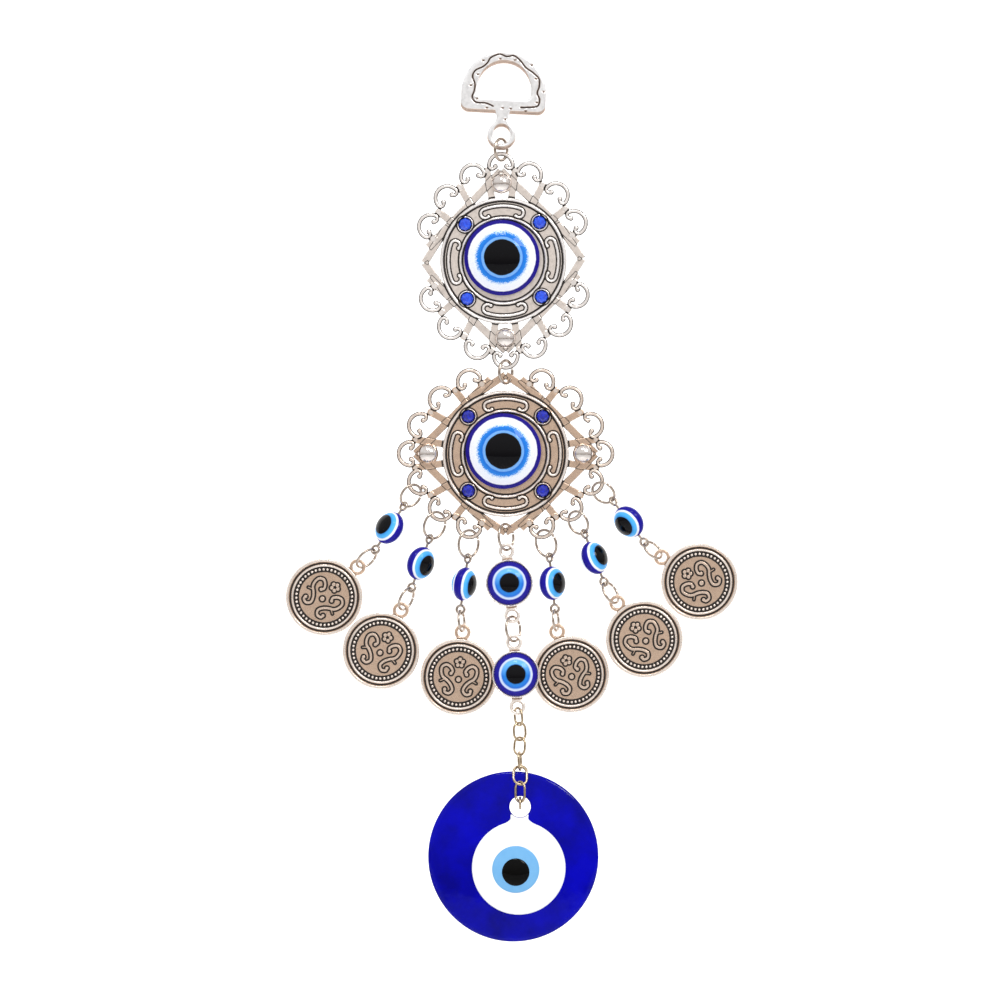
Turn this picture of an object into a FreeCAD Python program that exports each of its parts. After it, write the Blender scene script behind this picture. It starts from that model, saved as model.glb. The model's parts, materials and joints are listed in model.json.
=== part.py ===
"""Evil eye hanging ornament, built as the loose pieces it is assembled from.

World frame: +Z up, +X to the viewer's right, the front faces -Y.  The origin is the highest
point inside the hanger's loop, where a nail or hook carries the ornament.

Every flat piece is drawn in its own flat frame (X right, Y up, Z towards the viewer) and then
placed: turned about its hanging line, leaned back, swayed sideways.
"""
import FreeCAD, Part
import math
import os
import Sketcher

Vector = FreeCAD.Vector
Rotation = FreeCAD.Rotation
Placement = FreeCAD.Placement

RIGHT = Vector(1, 0, 0)
BACK = Vector(0, 1, 0)
UP = Vector(0, 0, 1)
FLAT_UP = Vector(0, 1, 0)
UPRIGHT = Rotation(RIGHT, 90)

# Driving dimensions, in millimetres and degrees.
SIZES = {
    "hanger_outer_radius": 12.6,
    "hanger_band": 3.8,
    "hanger_hole_radius": 7.9,
    "hanger_hole_depth": 10.2,
    "hanger_depth": 14.8,
    "hanger_corner": 2.6,
    "hanger_thickness": 2.0,
    "hanger_neck_width": 4.6,
    "hanger_eye_drop": 21.2,
    "hanger_eye_radius": 4.3,
    "hanger_eye_hole": 2.5,
    "hanger_tilt": 3.0,
    "casting_thickness": 1.6,
    "plate_radius": 18.6,
    "plate_thickness": 1.0,
    "rim_centre_radius": 18.0,
    "rim_width": 1.2,
    "rim_height": 1.8,
    "seat_ring_radius": 12.7,
    "seat_ring_width": 0.9,
    "border_scroll_radius": 3.4,
    "border_scroll_width": 1.2,
    "border_scroll_sweep": 110.0,
    "border_knob_radius": 0.95,
    "floor_scroll_radius": 15.6,
    "floor_scroll_width": 0.8,
    "floor_scroll_sweep": 27.0,
    "floor_curl_radius": 1.0,
    "strap_width": 1.7,
    "strap_height": 1.4,
    "strap_apex": 26.5,
    "roof_apex": 23.2,
    "roof_foot_across": 10.5,
    "roof_foot_up": 16.2,
    "strut_width": 1.6,
    "pad_radius": 1.5,
    "ball_radius": 3.15,
    "ball_place": 22.8,
    "stone_place": 15.5,
    "stone_radius": 1.85,
    "stone_height": 1.3,
    "stone_cup_radius": 2.5,
    "stone_cup_height": 1.5,
    "eye_radius": 11.1,
    "eye_edge": 1.2,
    "eye_height": 5.2,
    "jump_ring_radius": 3.15,
    "middle_ring_radius": 3.35,
    "jump_ring_wire": 0.9,
    "drop_ring_radius": 3.5,
    "wide_ring_radius": 4.0,
    "coin_ring_radius": 3.1,
    "wide_coin_ring_radius": 3.4,
    "column_ring_radius": 3.85,
    "connector_ring_radius": 3.65,
    "ring_wire": 0.8,
    "pin_reach": 7.6,
    "pin_wire": 0.8,
    "pin_loop_radius": 1.2,
    "bead_radius": 5.0,
    "bead_rim_radius": 4.6,
    "bead_rim_half": 1.1,
    "bead_half_thickness": 3.6,
    "bead_hole_radius": 0.47,
    "coin_radius": 11.3,
    "coin_thickness": 1.6,
    "coin_field_radius": 9.9,
    "coin_field_sink": 0.3,
    "coin_reach": 13.2,
    "tab_radius": 2.4,
    "tab_hole": 1.4,
    "tab_neck": 3.2,
    "tab_thickness": 1.0,
    "link_eye_radius": 6.3,
    "link_eye_edge": 0.5,
    "link_eye_height": 3.2,
    "bezel_radius": 7.0,
    "bezel_height": 0.9,
    "bezel_wall": 0.55,
    "connector_reach": 9.5,
    "connector_plate": 1.0,
    "chain_wire": 0.7,
    "chain_bend": 2.0,
    "chain_straight": 1.2,
    "loop_straight": 1.9,
    "hole_link_bend": 1.5,
    "hole_link_straight": 5.6,
    "disc_radius": 25.0,
    "disc_half_thickness": 1.9,
    "disc_edge_half": 0.8,
    "disc_edge_round": 0.8,
    "disc_hole": 3.1,
    "disc_centre_across": 2.0,
    "disc_centre_drop": 14.65,
    "white_radius": 13.8,
    "white_across": 0.4,
    "white_drop": 17.9,
    "white_height": 0.7,
    "white_neck": 5.0,
    "iris_radius": 7.0,
    "iris_across": 1.3,
    "iris_drop": 18.2,
    "iris_height": 0.5,
    "pupil_radius": 4.1,
    "pupil_drop": 19.0,
    "pupil_height": 0.7,
}

# Where a hanging ring's wire runs past the edge it hangs on: wire centre to edge.
HOOK_IN_SCROLL = 1.35
HOOK_IN_ROOF = 1.5
HOOK_IN_HANGER = 1.5
# How far a drilled tab or a wire loop hangs below the wire that carries it.
TAB_SLACK = 0.3
LOOP_SLACK = 0.3

# Border scroll centres in one quarter of the medallion, nearest the long axis first.
LONG_AXIS_SCROLL = 28.0
BORDER_SCROLLS = ((25.0, 8.3), (18.9, 16.0), (10.6, 21.1))

# How far each cabochon is glued off the middle of its seat, across and up.
EYE_SHIFTS = {"upper": (-0.4, 0.85), "lower": (-0.65, 0.75)}

# The six side drops: border scroll, side, then sway of ring, pin, coin ring and coin from
# straight down (positive to the right), lean back, and turn of the rings and the bead about
# their own hanging lines (0 is flat to the viewer).
DROPS = {
    "left_outer": dict(scroll=0, side=-1, sway=(-35, -33, -46, -48), lean=1.5, turn=(42, 58), bead=-50),
    "left_middle": dict(scroll=1, side=-1, sway=(-21, -20, -26, -26), lean=-1.5, turn=(42, 60), bead=50),
    "left_inner": dict(scroll=2, side=-1, sway=(-3, -8, 6, -5), lean=3.0, turn=(44, 75), bead=66),
    "right_inner": dict(scroll=2, side=1, sway=(14, 6, 5, 18), lean=3.0, turn=(-44, 75), bead=52),
    "right_middle": dict(scroll=1, side=1, sway=(30, 22, 32, 37), lean=-1.5, turn=(-42, 60), bead=55),
    "right_outer": dict(scroll=0, side=1, sway=(50, 37, 50, 57), lean=1.5, turn=(-42, 58), bead=-48),
}
PIN_LOOP_TURN = 90
# The rings are hand-bent: these drops have the wider ring at the casting, and these at the coin.
WIDE_RINGS = ("left_middle", "left_inner", "right_inner")
WIDE_COIN_RINGS = ("left_outer", "left_middle", "right_middle")

# The middle column: sway of each piece, the column's lean, and turn of rings and chain links.
COLUMN_LEAN = -3.5
COLUMN_RING = dict(sway=2, turn=56)
CONNECTOR_SWAYS = (5, 3)
CONNECTOR_RING = dict(sway=4, turn=56)
CHAIN_SWAYS = (6, 4, -3, 3)
CHAIN_TURNS = (-58, 32, -40, 80)
# The closed loop round the disc's top edge.
LOOP_FLARE = 30.0
LOOP_RETURN = -1.0
LOOP_TURNS = (14, -48)
HOLE_LINK_SLACK = 0.22
# Clearance between two chain wires that bear on each other.
WIRE_GAP = 0.16

doc = FreeCAD.newDocument("evil_eye_ornament")
sheet = doc.addObject("Spreadsheet::Sheet", "sizes")
for row, (alias, value) in enumerate(SIZES.items(), start=1):
    sheet.set(f"A{row}", alias.replace("_", " "))
    sheet.set(f"B{row}", str(value))
    sheet.setAlias(f"B{row}", alias)
doc.recompute()

nodes = []
contacts = {}


def size(alias):
    return float(sheet.get(alias))


def primitive(kind, name, place=None, **expressions):
    """A Part primitive whose sizes follow the sheet."""
    shape = doc.addObject(kind, name)
    for prop, expression in expressions.items():
        shape.setExpression(prop, expression)
    if place is not None:
        shape.Placement = place
    return shape


def at(x, y, z=0.0, about=None, degrees=0.0):
    """A placement in a flat frame."""
    return Placement(Vector(x, y, z), Rotation(about or UP, degrees))


def cut(name, base, tool):
    result = doc.addObject("Part::Cut", name)
    result.Base = base
    result.Tool = tool
    return result


def fuse(name, pieces):
    result = doc.addObject("Part::MultiFuse", name)
    result.Shapes = pieces
    return result


def group(name, pieces):
    result = doc.addObject("Part::Compound", name)
    result.Links = pieces
    return result


def finish(piece, label, place):
    """Name a finished sub-part and put it in the world."""
    piece.Label = label
    piece.Placement = place
    nodes.append(piece)
    return piece


def facing(sway=0.0, lean=0.0, turn=0.0):
    """World rotation of a flat-frame piece."""
    return Rotation(BACK, -sway) * Rotation(RIGHT, lean) * UPRIGHT * Rotation(FLAT_UP, turn)


def down(sway=0.0, lean=0.0):
    """Unit vector along which a piece hangs."""
    return (Rotation(BACK, -sway) * Rotation(RIGHT, lean)).multVec(Vector(0, 0, -1))


def new_body(name):
    return doc.addObject("PartDesign::Body", name)


def sketch_on(body, role, name):
    """A sketch attached to one of its own body's origin planes."""
    sketch = body.newObject("Sketcher::SketchObject", name)
    plane = [feature for feature in body.Origin.OriginFeatures if feature.Role == role][0]
    sketch.AttachmentSupport = [(plane, "")]
    sketch.MapMode = "FlatFace"
    return sketch


def draw_circle(sketch, centre, alias):
    """A circle whose centre is fixed and whose radius follows the sheet."""
    edge = sketch.addGeometry(Part.Circle(Vector(centre[0], centre[1], 0), UP, size(alias)))
    sketch.addConstraint(Sketcher.Constraint("DistanceX", -1, 1, edge, 3, centre[0]))
    sketch.addConstraint(Sketcher.Constraint("DistanceY", -1, 1, edge, 3, centre[1]))
    radius = sketch.addConstraint(Sketcher.Constraint("Radius", edge, size(alias)))
    sketch.setExpression(f"Constraints[{radius}]", f"sizes.{alias}")


def draw_outline(sketch, corners, bulges=None):
    """A closed outline through corners; bulges[i] is a point that the edge after corner i passes."""
    bulges = bulges or {}
    edges = []
    for index, corner in enumerate(corners):
        start = Vector(corner[0], corner[1], 0)
        nearest = corners[(index + 1) % len(corners)]
        end = Vector(nearest[0], nearest[1], 0)
        if index in bulges:
            middle = Vector(bulges[index][0], bulges[index][1], 0)
            curve = Part.Arc(start, middle, end)
        else:
            curve = Part.LineSegment(start, end)
        edges.append(sketch.addGeometry(curve))
    return edges


def pad(body, sketch, name, length, midplane=False):
    feature = body.newObject("PartDesign::Pad", name)
    feature.Profile = sketch
    feature.setExpression("Length", length)
    feature.Midplane = midplane
    return feature


def revolve(body, sketch, name):
    feature = body.newObject("PartDesign::Revolution", name)
    feature.Profile = sketch
    feature.ReferenceAxis = (sketch, ["V_Axis"])
    feature.Angle = 360
    return feature


def ring(label, centre, rotation, radius, wire):
    """A round wire ring, flat in its own XY plane."""
    torus = primitive("Part::Torus", label, Radius1=f"sizes.{radius}", Radius2=f"sizes.{wire} / 2")
    return finish(torus, label, Placement(centre, rotation))


def oval_link(label, centre, rotation, bend="chain_bend", straight="chain_straight"):
    """A chain link: two half-round bends joined by two straight wires, long axis along Y."""
    half = size(straight) / 2
    pieces = []
    for name, offset, turn in (("top", half, 0), ("bottom", -half, 180)):
        pieces.append(primitive(
            "Part::Torus", f"{label}_{name}_bend", at(0, offset, degrees=turn),
            Radius1=f"sizes.{bend}", Radius2="sizes.chain_wire / 2", Angle3="180"))
    for name, across in (("left", -size(bend)), ("right", size(bend))):
        pieces.append(primitive(
            "Part::Cylinder", f"{label}_{name}_side", at(across, half, about=RIGHT, degrees=90),
            Radius="sizes.chain_wire / 2", Height=f"sizes.{straight}"))
    return finish(fuse(f"{label}_wire", pieces), label, Placement(centre, rotation))


def cap_middle(across, rise):
    """Halfway point, from axis to edge, of a spherical cap: distance out and height over its edge."""
    sphere = (across ** 2 + rise ** 2) / (2 * rise)
    return across / 2, math.sqrt(sphere ** 2 - across ** 2 / 4) - sphere + rise


def dome(label, place, radius, edge, height):
    """A cast resin cabochon: flat back at Z=0, short straight edge, domed front."""
    body = new_body(label)
    sketch = sketch_on(body, "XZ_Plane", f"{label}_profile")
    r, wall, top = size(radius), size(edge), size(height)
    out, rise = cap_middle(r, top - wall)
    shoulder = (out, wall + rise)
    draw_outline(sketch, [(0, 0), (r, 0), (r, wall), (0, top)], {2: shoulder})
    sketch.addConstraint(Sketcher.Constraint("Vertical", 1))
    revolve(body, sketch, f"{label}_turned")
    return finish(body, label, place)


def hanger():
    """D-shaped handle with a neck and an eye, cast in one piece."""
    outer, band, hole = size("hanger_outer_radius"), size("hanger_band"), size("hanger_hole_radius")
    centre = band - outer
    floor, corner = -size("hanger_depth"), size("hanger_corner")
    turn = corner * (1 - math.sqrt(0.5))
    body = new_body("hanger_casting")
    outline = sketch_on(body, "XY_Plane", "hanger_outline")
    shoulder = floor + corner
    draw_outline(
        outline,
        [(-outer, centre), (outer, centre), (outer, shoulder), (outer - corner, floor),
         (corner - outer, floor), (-outer, shoulder)],
        {0: (0, band), 2: (outer - turn, floor + turn), 4: (turn - outer, floor + turn)})
    pad(body, outline, "hanger_band_pad", "sizes.hanger_thickness", midplane=True)
    eye = sketch_on(body, "XY_Plane", "hanger_eye_outline")
    draw_circle(eye, (0, -size("hanger_eye_drop")), "hanger_eye_radius")
    pad(body, eye, "hanger_eye_pad", "sizes.hanger_thickness", midplane=True)
    neck = sketch_on(body, "XY_Plane", "hanger_neck_outline")
    half, low = size("hanger_neck_width") / 2, floor - 3.5
    draw_outline(neck, [(-half, floor + 1), (half, floor + 1), (half, low), (-half, low)])
    pad(body, neck, "hanger_neck_pad", "sizes.hanger_thickness", midplane=True)
    doc.recompute()
    opening = sketch_on(body, "XY_Plane", "hanger_opening")
    hole_floor, round_off = -size("hanger_hole_depth"), size("hanger_corner") / 2
    bend = round_off * (1 - math.sqrt(0.5))
    draw_outline(
        opening,
        [(-hole, -hole), (hole, -hole), (hole, hole_floor + round_off), (hole - round_off, hole_floor),
         (round_off - hole, hole_floor), (-hole, hole_floor + round_off)],
        {0: (0, 0), 2: (hole - bend, hole_floor + bend), 4: (bend - hole, hole_floor + bend)})
    drilled = sketch_on(body, "XY_Plane", "hanger_eye_hole_outline")
    draw_circle(drilled, (0, -size("hanger_eye_drop")), "hanger_eye_hole")
    through(body, opening, "hanger_opening_cut")
    through(body, drilled, "hanger_eye_cut")
    return finish(body, "hanger", Placement(Vector(0, 0, 0), facing(-size("hanger_tilt"))))


def through(body, sketch, name):
    """Cut a sketch right through its body, both ways."""
    pocket = body.newObject("PartDesign::Pocket", name)
    pocket.Profile = sketch
    pocket.Type = "ThroughAll"
    pocket.Midplane = True
    return pocket


def band(name, centre, radius, width, start, sweep, height, low):
    """An upright wall bent along a circle: the basic stroke of the cast scrollwork."""
    x, y = centre
    outer = primitive(
        "Part::Cylinder", f"{name}_outer", at(x, y, low, degrees=start),
        Radius=f"sizes.{radius} + sizes.{width} / 2", Height=height, Angle=str(sweep))
    inner = primitive(
        "Part::Cylinder", f"{name}_inner", at(x, y, low - 1),
        Radius=f"sizes.{radius} - sizes.{width} / 2", Height=f"{height} + 2")
    return cut(f"{name}_band", outer, inner)


def bar(name, start, end, width, height, low):
    """A flat straight strap between two points."""
    dx, dy = end[0] - start[0], end[1] - start[1]
    degrees = math.degrees(math.atan2(dy, dx))
    side = Rotation(UP, degrees).multVec(Vector(0, -size(width) / 2, 0))
    box = primitive(
        "Part::Box", name, at(start[0] + side.x, start[1] + side.y, low, degrees=degrees),
        Width=f"sizes.{width}", Height=height)
    box.Length = math.hypot(dx, dy)
    return box


def post(name, centre, radius, height, low):
    return primitive(
        "Part::Cylinder", name, at(centre[0], centre[1], low), Radius=f"sizes.{radius}", Height=height)


def quarters():
    """Signs of the four quarters of the medallion."""
    return [(sx, sy) for sx in (1, -1) for sy in (1, -1)]


def border_scroll_centres():
    """Centres of all fourteen border scrolls, long axis along X."""
    centres = [(LONG_AXIS_SCROLL, 0.0), (-LONG_AXIS_SCROLL, 0.0)]
    for sx, sy in quarters():
        centres += [(sx * x, sy * y) for x, y in BORDER_SCROLLS]
    return centres


def medallion_casting(label, place):
    """Pierced filigree medallion: plate and rims, scroll border, straps, studs and stone cups."""
    low = -size("casting_thickness") / 2
    scroll_height = "sizes.casting_thickness"
    pieces = [
        post(f"{label}_plate", (0, 0), "plate_radius", "sizes.plate_thickness", low),
        band(f"{label}_rim", (0, 0), "rim_centre_radius", "rim_width", 0, 360, "sizes.rim_height", low),
        band(f"{label}_seat", (0, 0), "seat_ring_radius", "seat_ring_width", 0, 360, "sizes.rim_height", low),
    ]
    sweep = size("border_scroll_sweep")
    for index, (x, y) in enumerate(border_scroll_centres()):
        outward = math.degrees(math.atan2(y, x))
        name = f"{label}_scroll_{index}"
        pieces.append(band(name, (x, y), "border_scroll_radius", "border_scroll_width",
                           outward - sweep, 2 * sweep, scroll_height, low))
        knob_reach = size("border_scroll_radius") - 0.45
        for end in (-1, 1):
            angle = math.radians(outward + end * (sweep + 5))
            knob = (x + knob_reach * math.cos(angle), y + knob_reach * math.sin(angle))
            pieces.append(post(f"{name}_knob", knob, "border_knob_radius", scroll_height, low))
    tip, roof = size("strap_apex"), size("roof_apex")
    foot = (size("roof_foot_across"), size("roof_foot_up"))
    for sx, sy in quarters():
        name = f"{label}_quarter"
        pieces.append(bar(f"{name}_strap", (sx * tip, 0), (sx * 4.5, sy * (tip - 4.5)),
                          "strap_width", "sizes.strap_height", low))
        pieces.append(bar(f"{name}_roof", (0, sy * roof), (sx * foot[0], sy * foot[1]),
                          "strap_width", "sizes.strap_height", low))
        row = ((LONG_AXIS_SCROLL, 0.0),) + BORDER_SCROLLS
        for first, second in zip(row, row[1:]):
            joint = (sx * (first[0] + second[0]) / 2, sy * (first[1] + second[1]) / 2)
            pieces.append(post(f"{name}_pad", joint, "pad_radius", scroll_height, low))
            reach = math.hypot(*joint)
            foot_scale = (size("plate_radius") - 1.0) / reach
            pieces.append(bar(f"{name}_strut", joint, (joint[0] * foot_scale, joint[1] * foot_scale),
                              "strut_width", "sizes.strap_height", low))
        last = BORDER_SCROLLS[-1]
        pieces.append(post(f"{name}_roof_pad", (sx * (last[0] - 3.6), sy * (last[1] - 0.6)),
                           "pad_radius", scroll_height, low))
        cup = size("stone_place") * math.sqrt(0.5)
        pieces.append(post(f"{name}_cup", (sx * cup, sy * cup), "stone_cup_radius",
                           "sizes.plate_thickness + sizes.stone_cup_height - sizes.stone_height", low))
    for index in range(4):
        middle = 90 * index
        arc = size("floor_scroll_sweep")
        pieces.append(band(f"{label}_floor_{index}", (0, 0), "floor_scroll_radius", "floor_scroll_width",
                           middle - arc, 2 * arc, "sizes.strap_height", low))
        for end in (-1, 1):
            angle = math.radians(middle + end * arc)
            reach = size("floor_scroll_radius") - 0.5
            curl = (reach * math.cos(angle), reach * math.sin(angle))
            pieces.append(post(f"{label}_curl", curl, "floor_curl_radius", "sizes.strap_height", low))
    for side in (-1, 1):
        spot = at(side * size("ball_place"), 0, about=RIGHT, degrees=90)
        pieces.append(primitive("Part::Sphere", f"{label}_stud", spot, Radius="sizes.ball_radius"))
    return finish(fuse(label, pieces), label, place)


def medallion(name, centre, sway, quarter_turn, eye_shift):
    """One medallion with its cabochon, glued a little off the middle, and its four glass stones."""
    rotation = facing(sway) * Rotation(UP, quarter_turn)
    medallion_casting(f"{name}_medallion", Placement(centre, rotation))
    floor = size("plate_thickness") - size("casting_thickness") / 2
    seat = facing(sway).multVec(Vector(eye_shift[0], eye_shift[1], floor))
    dome(f"{name}_eye", Placement(centre + seat, rotation), "eye_radius", "eye_edge", "eye_height")
    reach = size("stone_place") * math.sqrt(0.5)
    low = floor + size("stone_cup_height") - size("stone_height")
    stones = [
        primitive("Part::Cone", f"{name}_stone", at(sx * reach, sy * reach, low),
                  Radius1="sizes.stone_radius", Radius2="sizes.stone_radius * 0.6",
                  Height="sizes.stone_height")
        for sx, sy in quarters()]
    finish(group(f"{name}_stones", stones), f"{name}_stones", Placement(centre, rotation))


def eye_pin(label, centre, sway, lean, loop_turns):
    """A straight wire through the bead with a loop bent at each end."""
    reach, loop = size("pin_reach"), size("pin_loop_radius")
    pieces = [primitive("Part::Cylinder", f"{label}_shank", at(0, reach - loop, about=RIGHT, degrees=90),
                        Radius="sizes.pin_wire / 2", Height="2 * (sizes.pin_reach - sizes.pin_loop_radius)")]
    for end, turn in zip((1, -1), loop_turns):
        pieces.append(primitive(
            "Part::Torus", f"{label}_loop", at(0, end * reach, about=FLAT_UP, degrees=turn),
            Radius1="sizes.pin_loop_radius", Radius2="sizes.pin_wire / 2"))
    return finish(fuse(label, pieces), label, Placement(centre, facing(sway, lean)))


def bead(label, centre, rotation):
    """A lentil bead with an eye on both faces, drilled across its middle."""
    body = new_body(label)
    sketch = sketch_on(body, "XZ_Plane", f"{label}_profile")
    r, rim, half, top = (size(alias) for alias in (
        "bead_radius", "bead_rim_radius", "bead_rim_half", "bead_half_thickness"))
    out, rise = cap_middle(rim, top - half)
    shoulder = (out, half + rise)
    draw_outline(
        sketch, [(0, -top), (rim, -half), (rim, half), (0, top)],
        {0: (shoulder[0], -shoulder[1]), 1: (r, 0), 2: shoulder})
    revolve(body, sketch, f"{label}_turned")
    doc.recompute()
    drill = sketch_on(body, "XZ_Plane", f"{label}_drill_outline")
    draw_circle(drill, (0, 0), "bead_hole_radius")
    through(body, drill, f"{label}_drill")
    return finish(body, label, Placement(centre, rotation))


def tabbed_plate(name, radius, thickness, reach, tabs):
    """A round plate with drilled tabs, centred on its own mid thickness."""
    plate = post(f"{name}_plate", (0, 0), radius, f"sizes.{thickness}", -size(thickness) / 2)
    low = -size("tab_thickness") / 2
    solid = [plate]
    holes = []
    for index, side in enumerate(tabs):
        place = (0, side * size(reach))
        solid.append(post(f"{name}_tab_{index}", place, "tab_radius", "sizes.tab_thickness", low))
        solid.append(bar(f"{name}_neck_{index}", (0, side * (size(radius) - 1)),
                         (0, side * (size(reach) - 1.5)), "tab_neck", "sizes.tab_thickness", low))
        holes.append(post(f"{name}_drill_{index}", place, "tab_hole", "sizes.tab_thickness + 2", low - 1))
    return solid, holes


def coin(label, hole, sway, lean):
    """A round token with a sunk field on both faces and one drilled tab at the top."""
    solid, holes = tabbed_plate(label, "coin_radius", "coin_thickness", "coin_reach", (1,))
    blank = fuse(f"{label}_blank", solid)
    face = size("coin_thickness") / 2
    for name, low in (("front", face - size("coin_field_sink")), ("back", -face - 1)):
        holes.append(post(f"{label}_{name}_field", (0, 0), "coin_field_radius",
                          "sizes.coin_field_sink + 1", low))
    rotation = facing(sway, lean)
    centre = hole + down(sway, lean) * size("coin_reach")
    finish(cut(label, blank, fuse(f"{label}_cuts", holes)), label, Placement(centre, rotation))
    return centre


def connector(label, hole, sway, lean):
    """A round bezel with two drilled tabs, and the cabochon set in it."""
    solid, holes = tabbed_plate(label, "bezel_radius", "connector_plate", "connector_reach", (1, -1))
    floor = size("connector_plate") / 2
    wall = post(f"{label}_wall", (0, 0), "bezel_radius", "sizes.bezel_height", floor)
    well = primitive("Part::Cylinder", f"{label}_well", at(0, 0, floor),
                     Radius="sizes.bezel_radius - sizes.bezel_wall", Height="sizes.bezel_height + 1")
    casting = fuse(f"{label}_blank", solid + [wall])
    rotation = facing(sway, lean)
    centre = hole + down(sway, lean) * size("connector_reach")
    finish(cut(label, casting, fuse(f"{label}_cuts", holes + [well])), label, Placement(centre, rotation))
    seat = centre + rotation.multVec(Vector(0, 0, floor))
    dome(f"{label}_eye", Placement(seat, rotation), "link_eye_radius", "link_eye_edge", "link_eye_height")
    return centre + down(sway, lean) * size("connector_reach")


def side_drop(name, medallion_centre, spec):
    """One side drop: ring, pin, bead, coin ring and coin, hung from a border scroll."""
    lean = spec["lean"]
    ring_sway, pin_sway, coin_ring_sway, coin_sway = spec["sway"]
    ring_turn, coin_ring_turn = spec["turn"]
    x, y = BORDER_SCROLLS[spec["scroll"]]
    scroll = medallion_centre + Vector(spec["side"] * x, 0, -y)
    hollow = size("border_scroll_radius") - size("border_scroll_width") / 2
    hook = scroll + down(ring_sway, lean) * (hollow - HOOK_IN_SCROLL)
    alias = "wide_ring_radius" if name in WIDE_RINGS else "drop_ring_radius"
    radius = size(alias)
    centre = hook + down(ring_sway, lean) * radius
    ring(f"{name}_ring", centre, facing(ring_sway, lean, ring_turn), alias, "ring_wire")
    ring_foot = centre + down(ring_sway, lean) * radius
    bead_centre = ring_foot + down(pin_sway, lean) * (LOOP_SLACK + size("pin_reach"))
    loop_turns = (ring_turn - PIN_LOOP_TURN, coin_ring_turn - PIN_LOOP_TURN)
    eye_pin(f"{name}_pin", bead_centre, pin_sway, lean, loop_turns)
    bead(f"{name}_bead", bead_centre, facing(pin_sway, lean, spec["bead"]))
    coin_hook = bead_centre + down(pin_sway, lean) * (size("pin_reach") + LOOP_SLACK)
    coin_alias = "wide_coin_ring_radius" if name in WIDE_COIN_RINGS else "coin_ring_radius"
    coin_radius = size(coin_alias)
    coin_ring_centre = coin_hook + down(coin_ring_sway, lean) * coin_radius
    ring(f"{name}_coin_ring", coin_ring_centre, facing(coin_ring_sway, lean, coin_ring_turn),
         coin_alias, "ring_wire")
    coin_ring_foot = coin_ring_centre + down(coin_ring_sway, lean) * coin_radius
    coin_hole = coin_ring_foot + down(coin_sway, lean) * TAB_SLACK
    coin(f"{name}_coin", coin_hole, coin_sway, lean)
    contacts[name] = dict(hook=hook, ring_foot=ring_foot, bead=bead_centre, coin_hook=coin_hook,
                          coin_ring_foot=coin_ring_foot, sway=spec["sway"], lean=lean)


def dome_radius():
    """Radius of the sphere that both faces of the glass disc follow."""
    sag = size("disc_half_thickness") - size("disc_edge_half")
    across = size("disc_radius") - size("disc_edge_round")
    return (across ** 2 + sag ** 2) / (2 * sag)


def glass_disc(hole, rotation):
    """The glass disc, hung by its hole, with white, light blue and black glass on its front."""
    place = Placement(hole, rotation)
    top, edge_half = size("disc_half_thickness"), size("disc_edge_half")
    across = size("disc_radius") - size("disc_edge_round")
    sphere = dome_radius()
    out, rise = cap_middle(across, top - edge_half)
    middle = (out, edge_half + rise)
    body = new_body("disc_glass_body")
    outline = sketch_on(body, "XZ_Plane", "disc_profile")
    draw_outline(
        outline, [(0, -top), (across, -edge_half), (across, edge_half), (0, top)],
        {0: (middle[0], -middle[1]), 1: (size("disc_radius"), 0), 2: middle})
    revolve(body, outline, "disc_turned")
    doc.recompute()
    hole_place = (size("disc_centre_across"), size("disc_centre_drop"))
    drill = sketch_on(body, "XY_Plane", "disc_drill_outline")
    draw_circle(drill, hole_place, "disc_hole")
    through(body, drill, "disc_drill")
    centre = Vector(-hole_place[0], -hole_place[1], 0)
    finish(body, "disc_glass", Placement(hole + rotation.multVec(centre), rotation))

    dome_centre = at(centre.x, centre.y, top - sphere)
    white_top = top + size("white_height")
    low = edge_half
    gob_height = "sizes.disc_half_thickness + sizes.white_height - sizes.disc_edge_half"
    white = post("white_round", (-size("white_across"), -size("white_drop")), "white_radius", gob_height, low)
    neck = bar("white_neck_bar", (-0.2, -size("disc_hole") - 3), (-0.2, -1), "white_neck", gob_height, low)
    glass = primitive("Part::Sphere", "white_bed", dome_centre)
    glass.Radius = sphere
    clear = primitive("Part::Cylinder", "white_clear", at(0, 0, 0),
                      Radius="sizes.disc_hole + 0.1", Height="2 * sizes.disc_half_thickness")
    gob = cut("white_gob", fuse("white_parts", [white, neck]), fuse("white_cuts", [glass, clear]))
    finish(gob, "disc_white", place)
    iris = post("iris_round", (-size("iris_across"), -size("iris_drop")), "iris_radius",
                "sizes.iris_height", white_top)
    finish(iris, "disc_iris", place.multiply(iris.Placement))
    pupil = post("pupil_round", (-size("iris_across"), -size("pupil_drop")), "pupil_radius",
                 "sizes.pupil_height", white_top + size("iris_height"))
    finish(pupil, "disc_pupil", place.multiply(pupil.Placement))


def column_ring(label, hook, sway, turn, alias):
    """A ring of the middle column, hung at its top; returns the wire's lowest point."""
    radius = size(alias)
    centre = hook + down(sway, COLUMN_LEAN) * radius
    ring(label, centre, facing(sway, COLUMN_LEAN, turn), alias, "ring_wire")
    return centre + down(sway, COLUMN_LEAN) * radius


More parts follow.
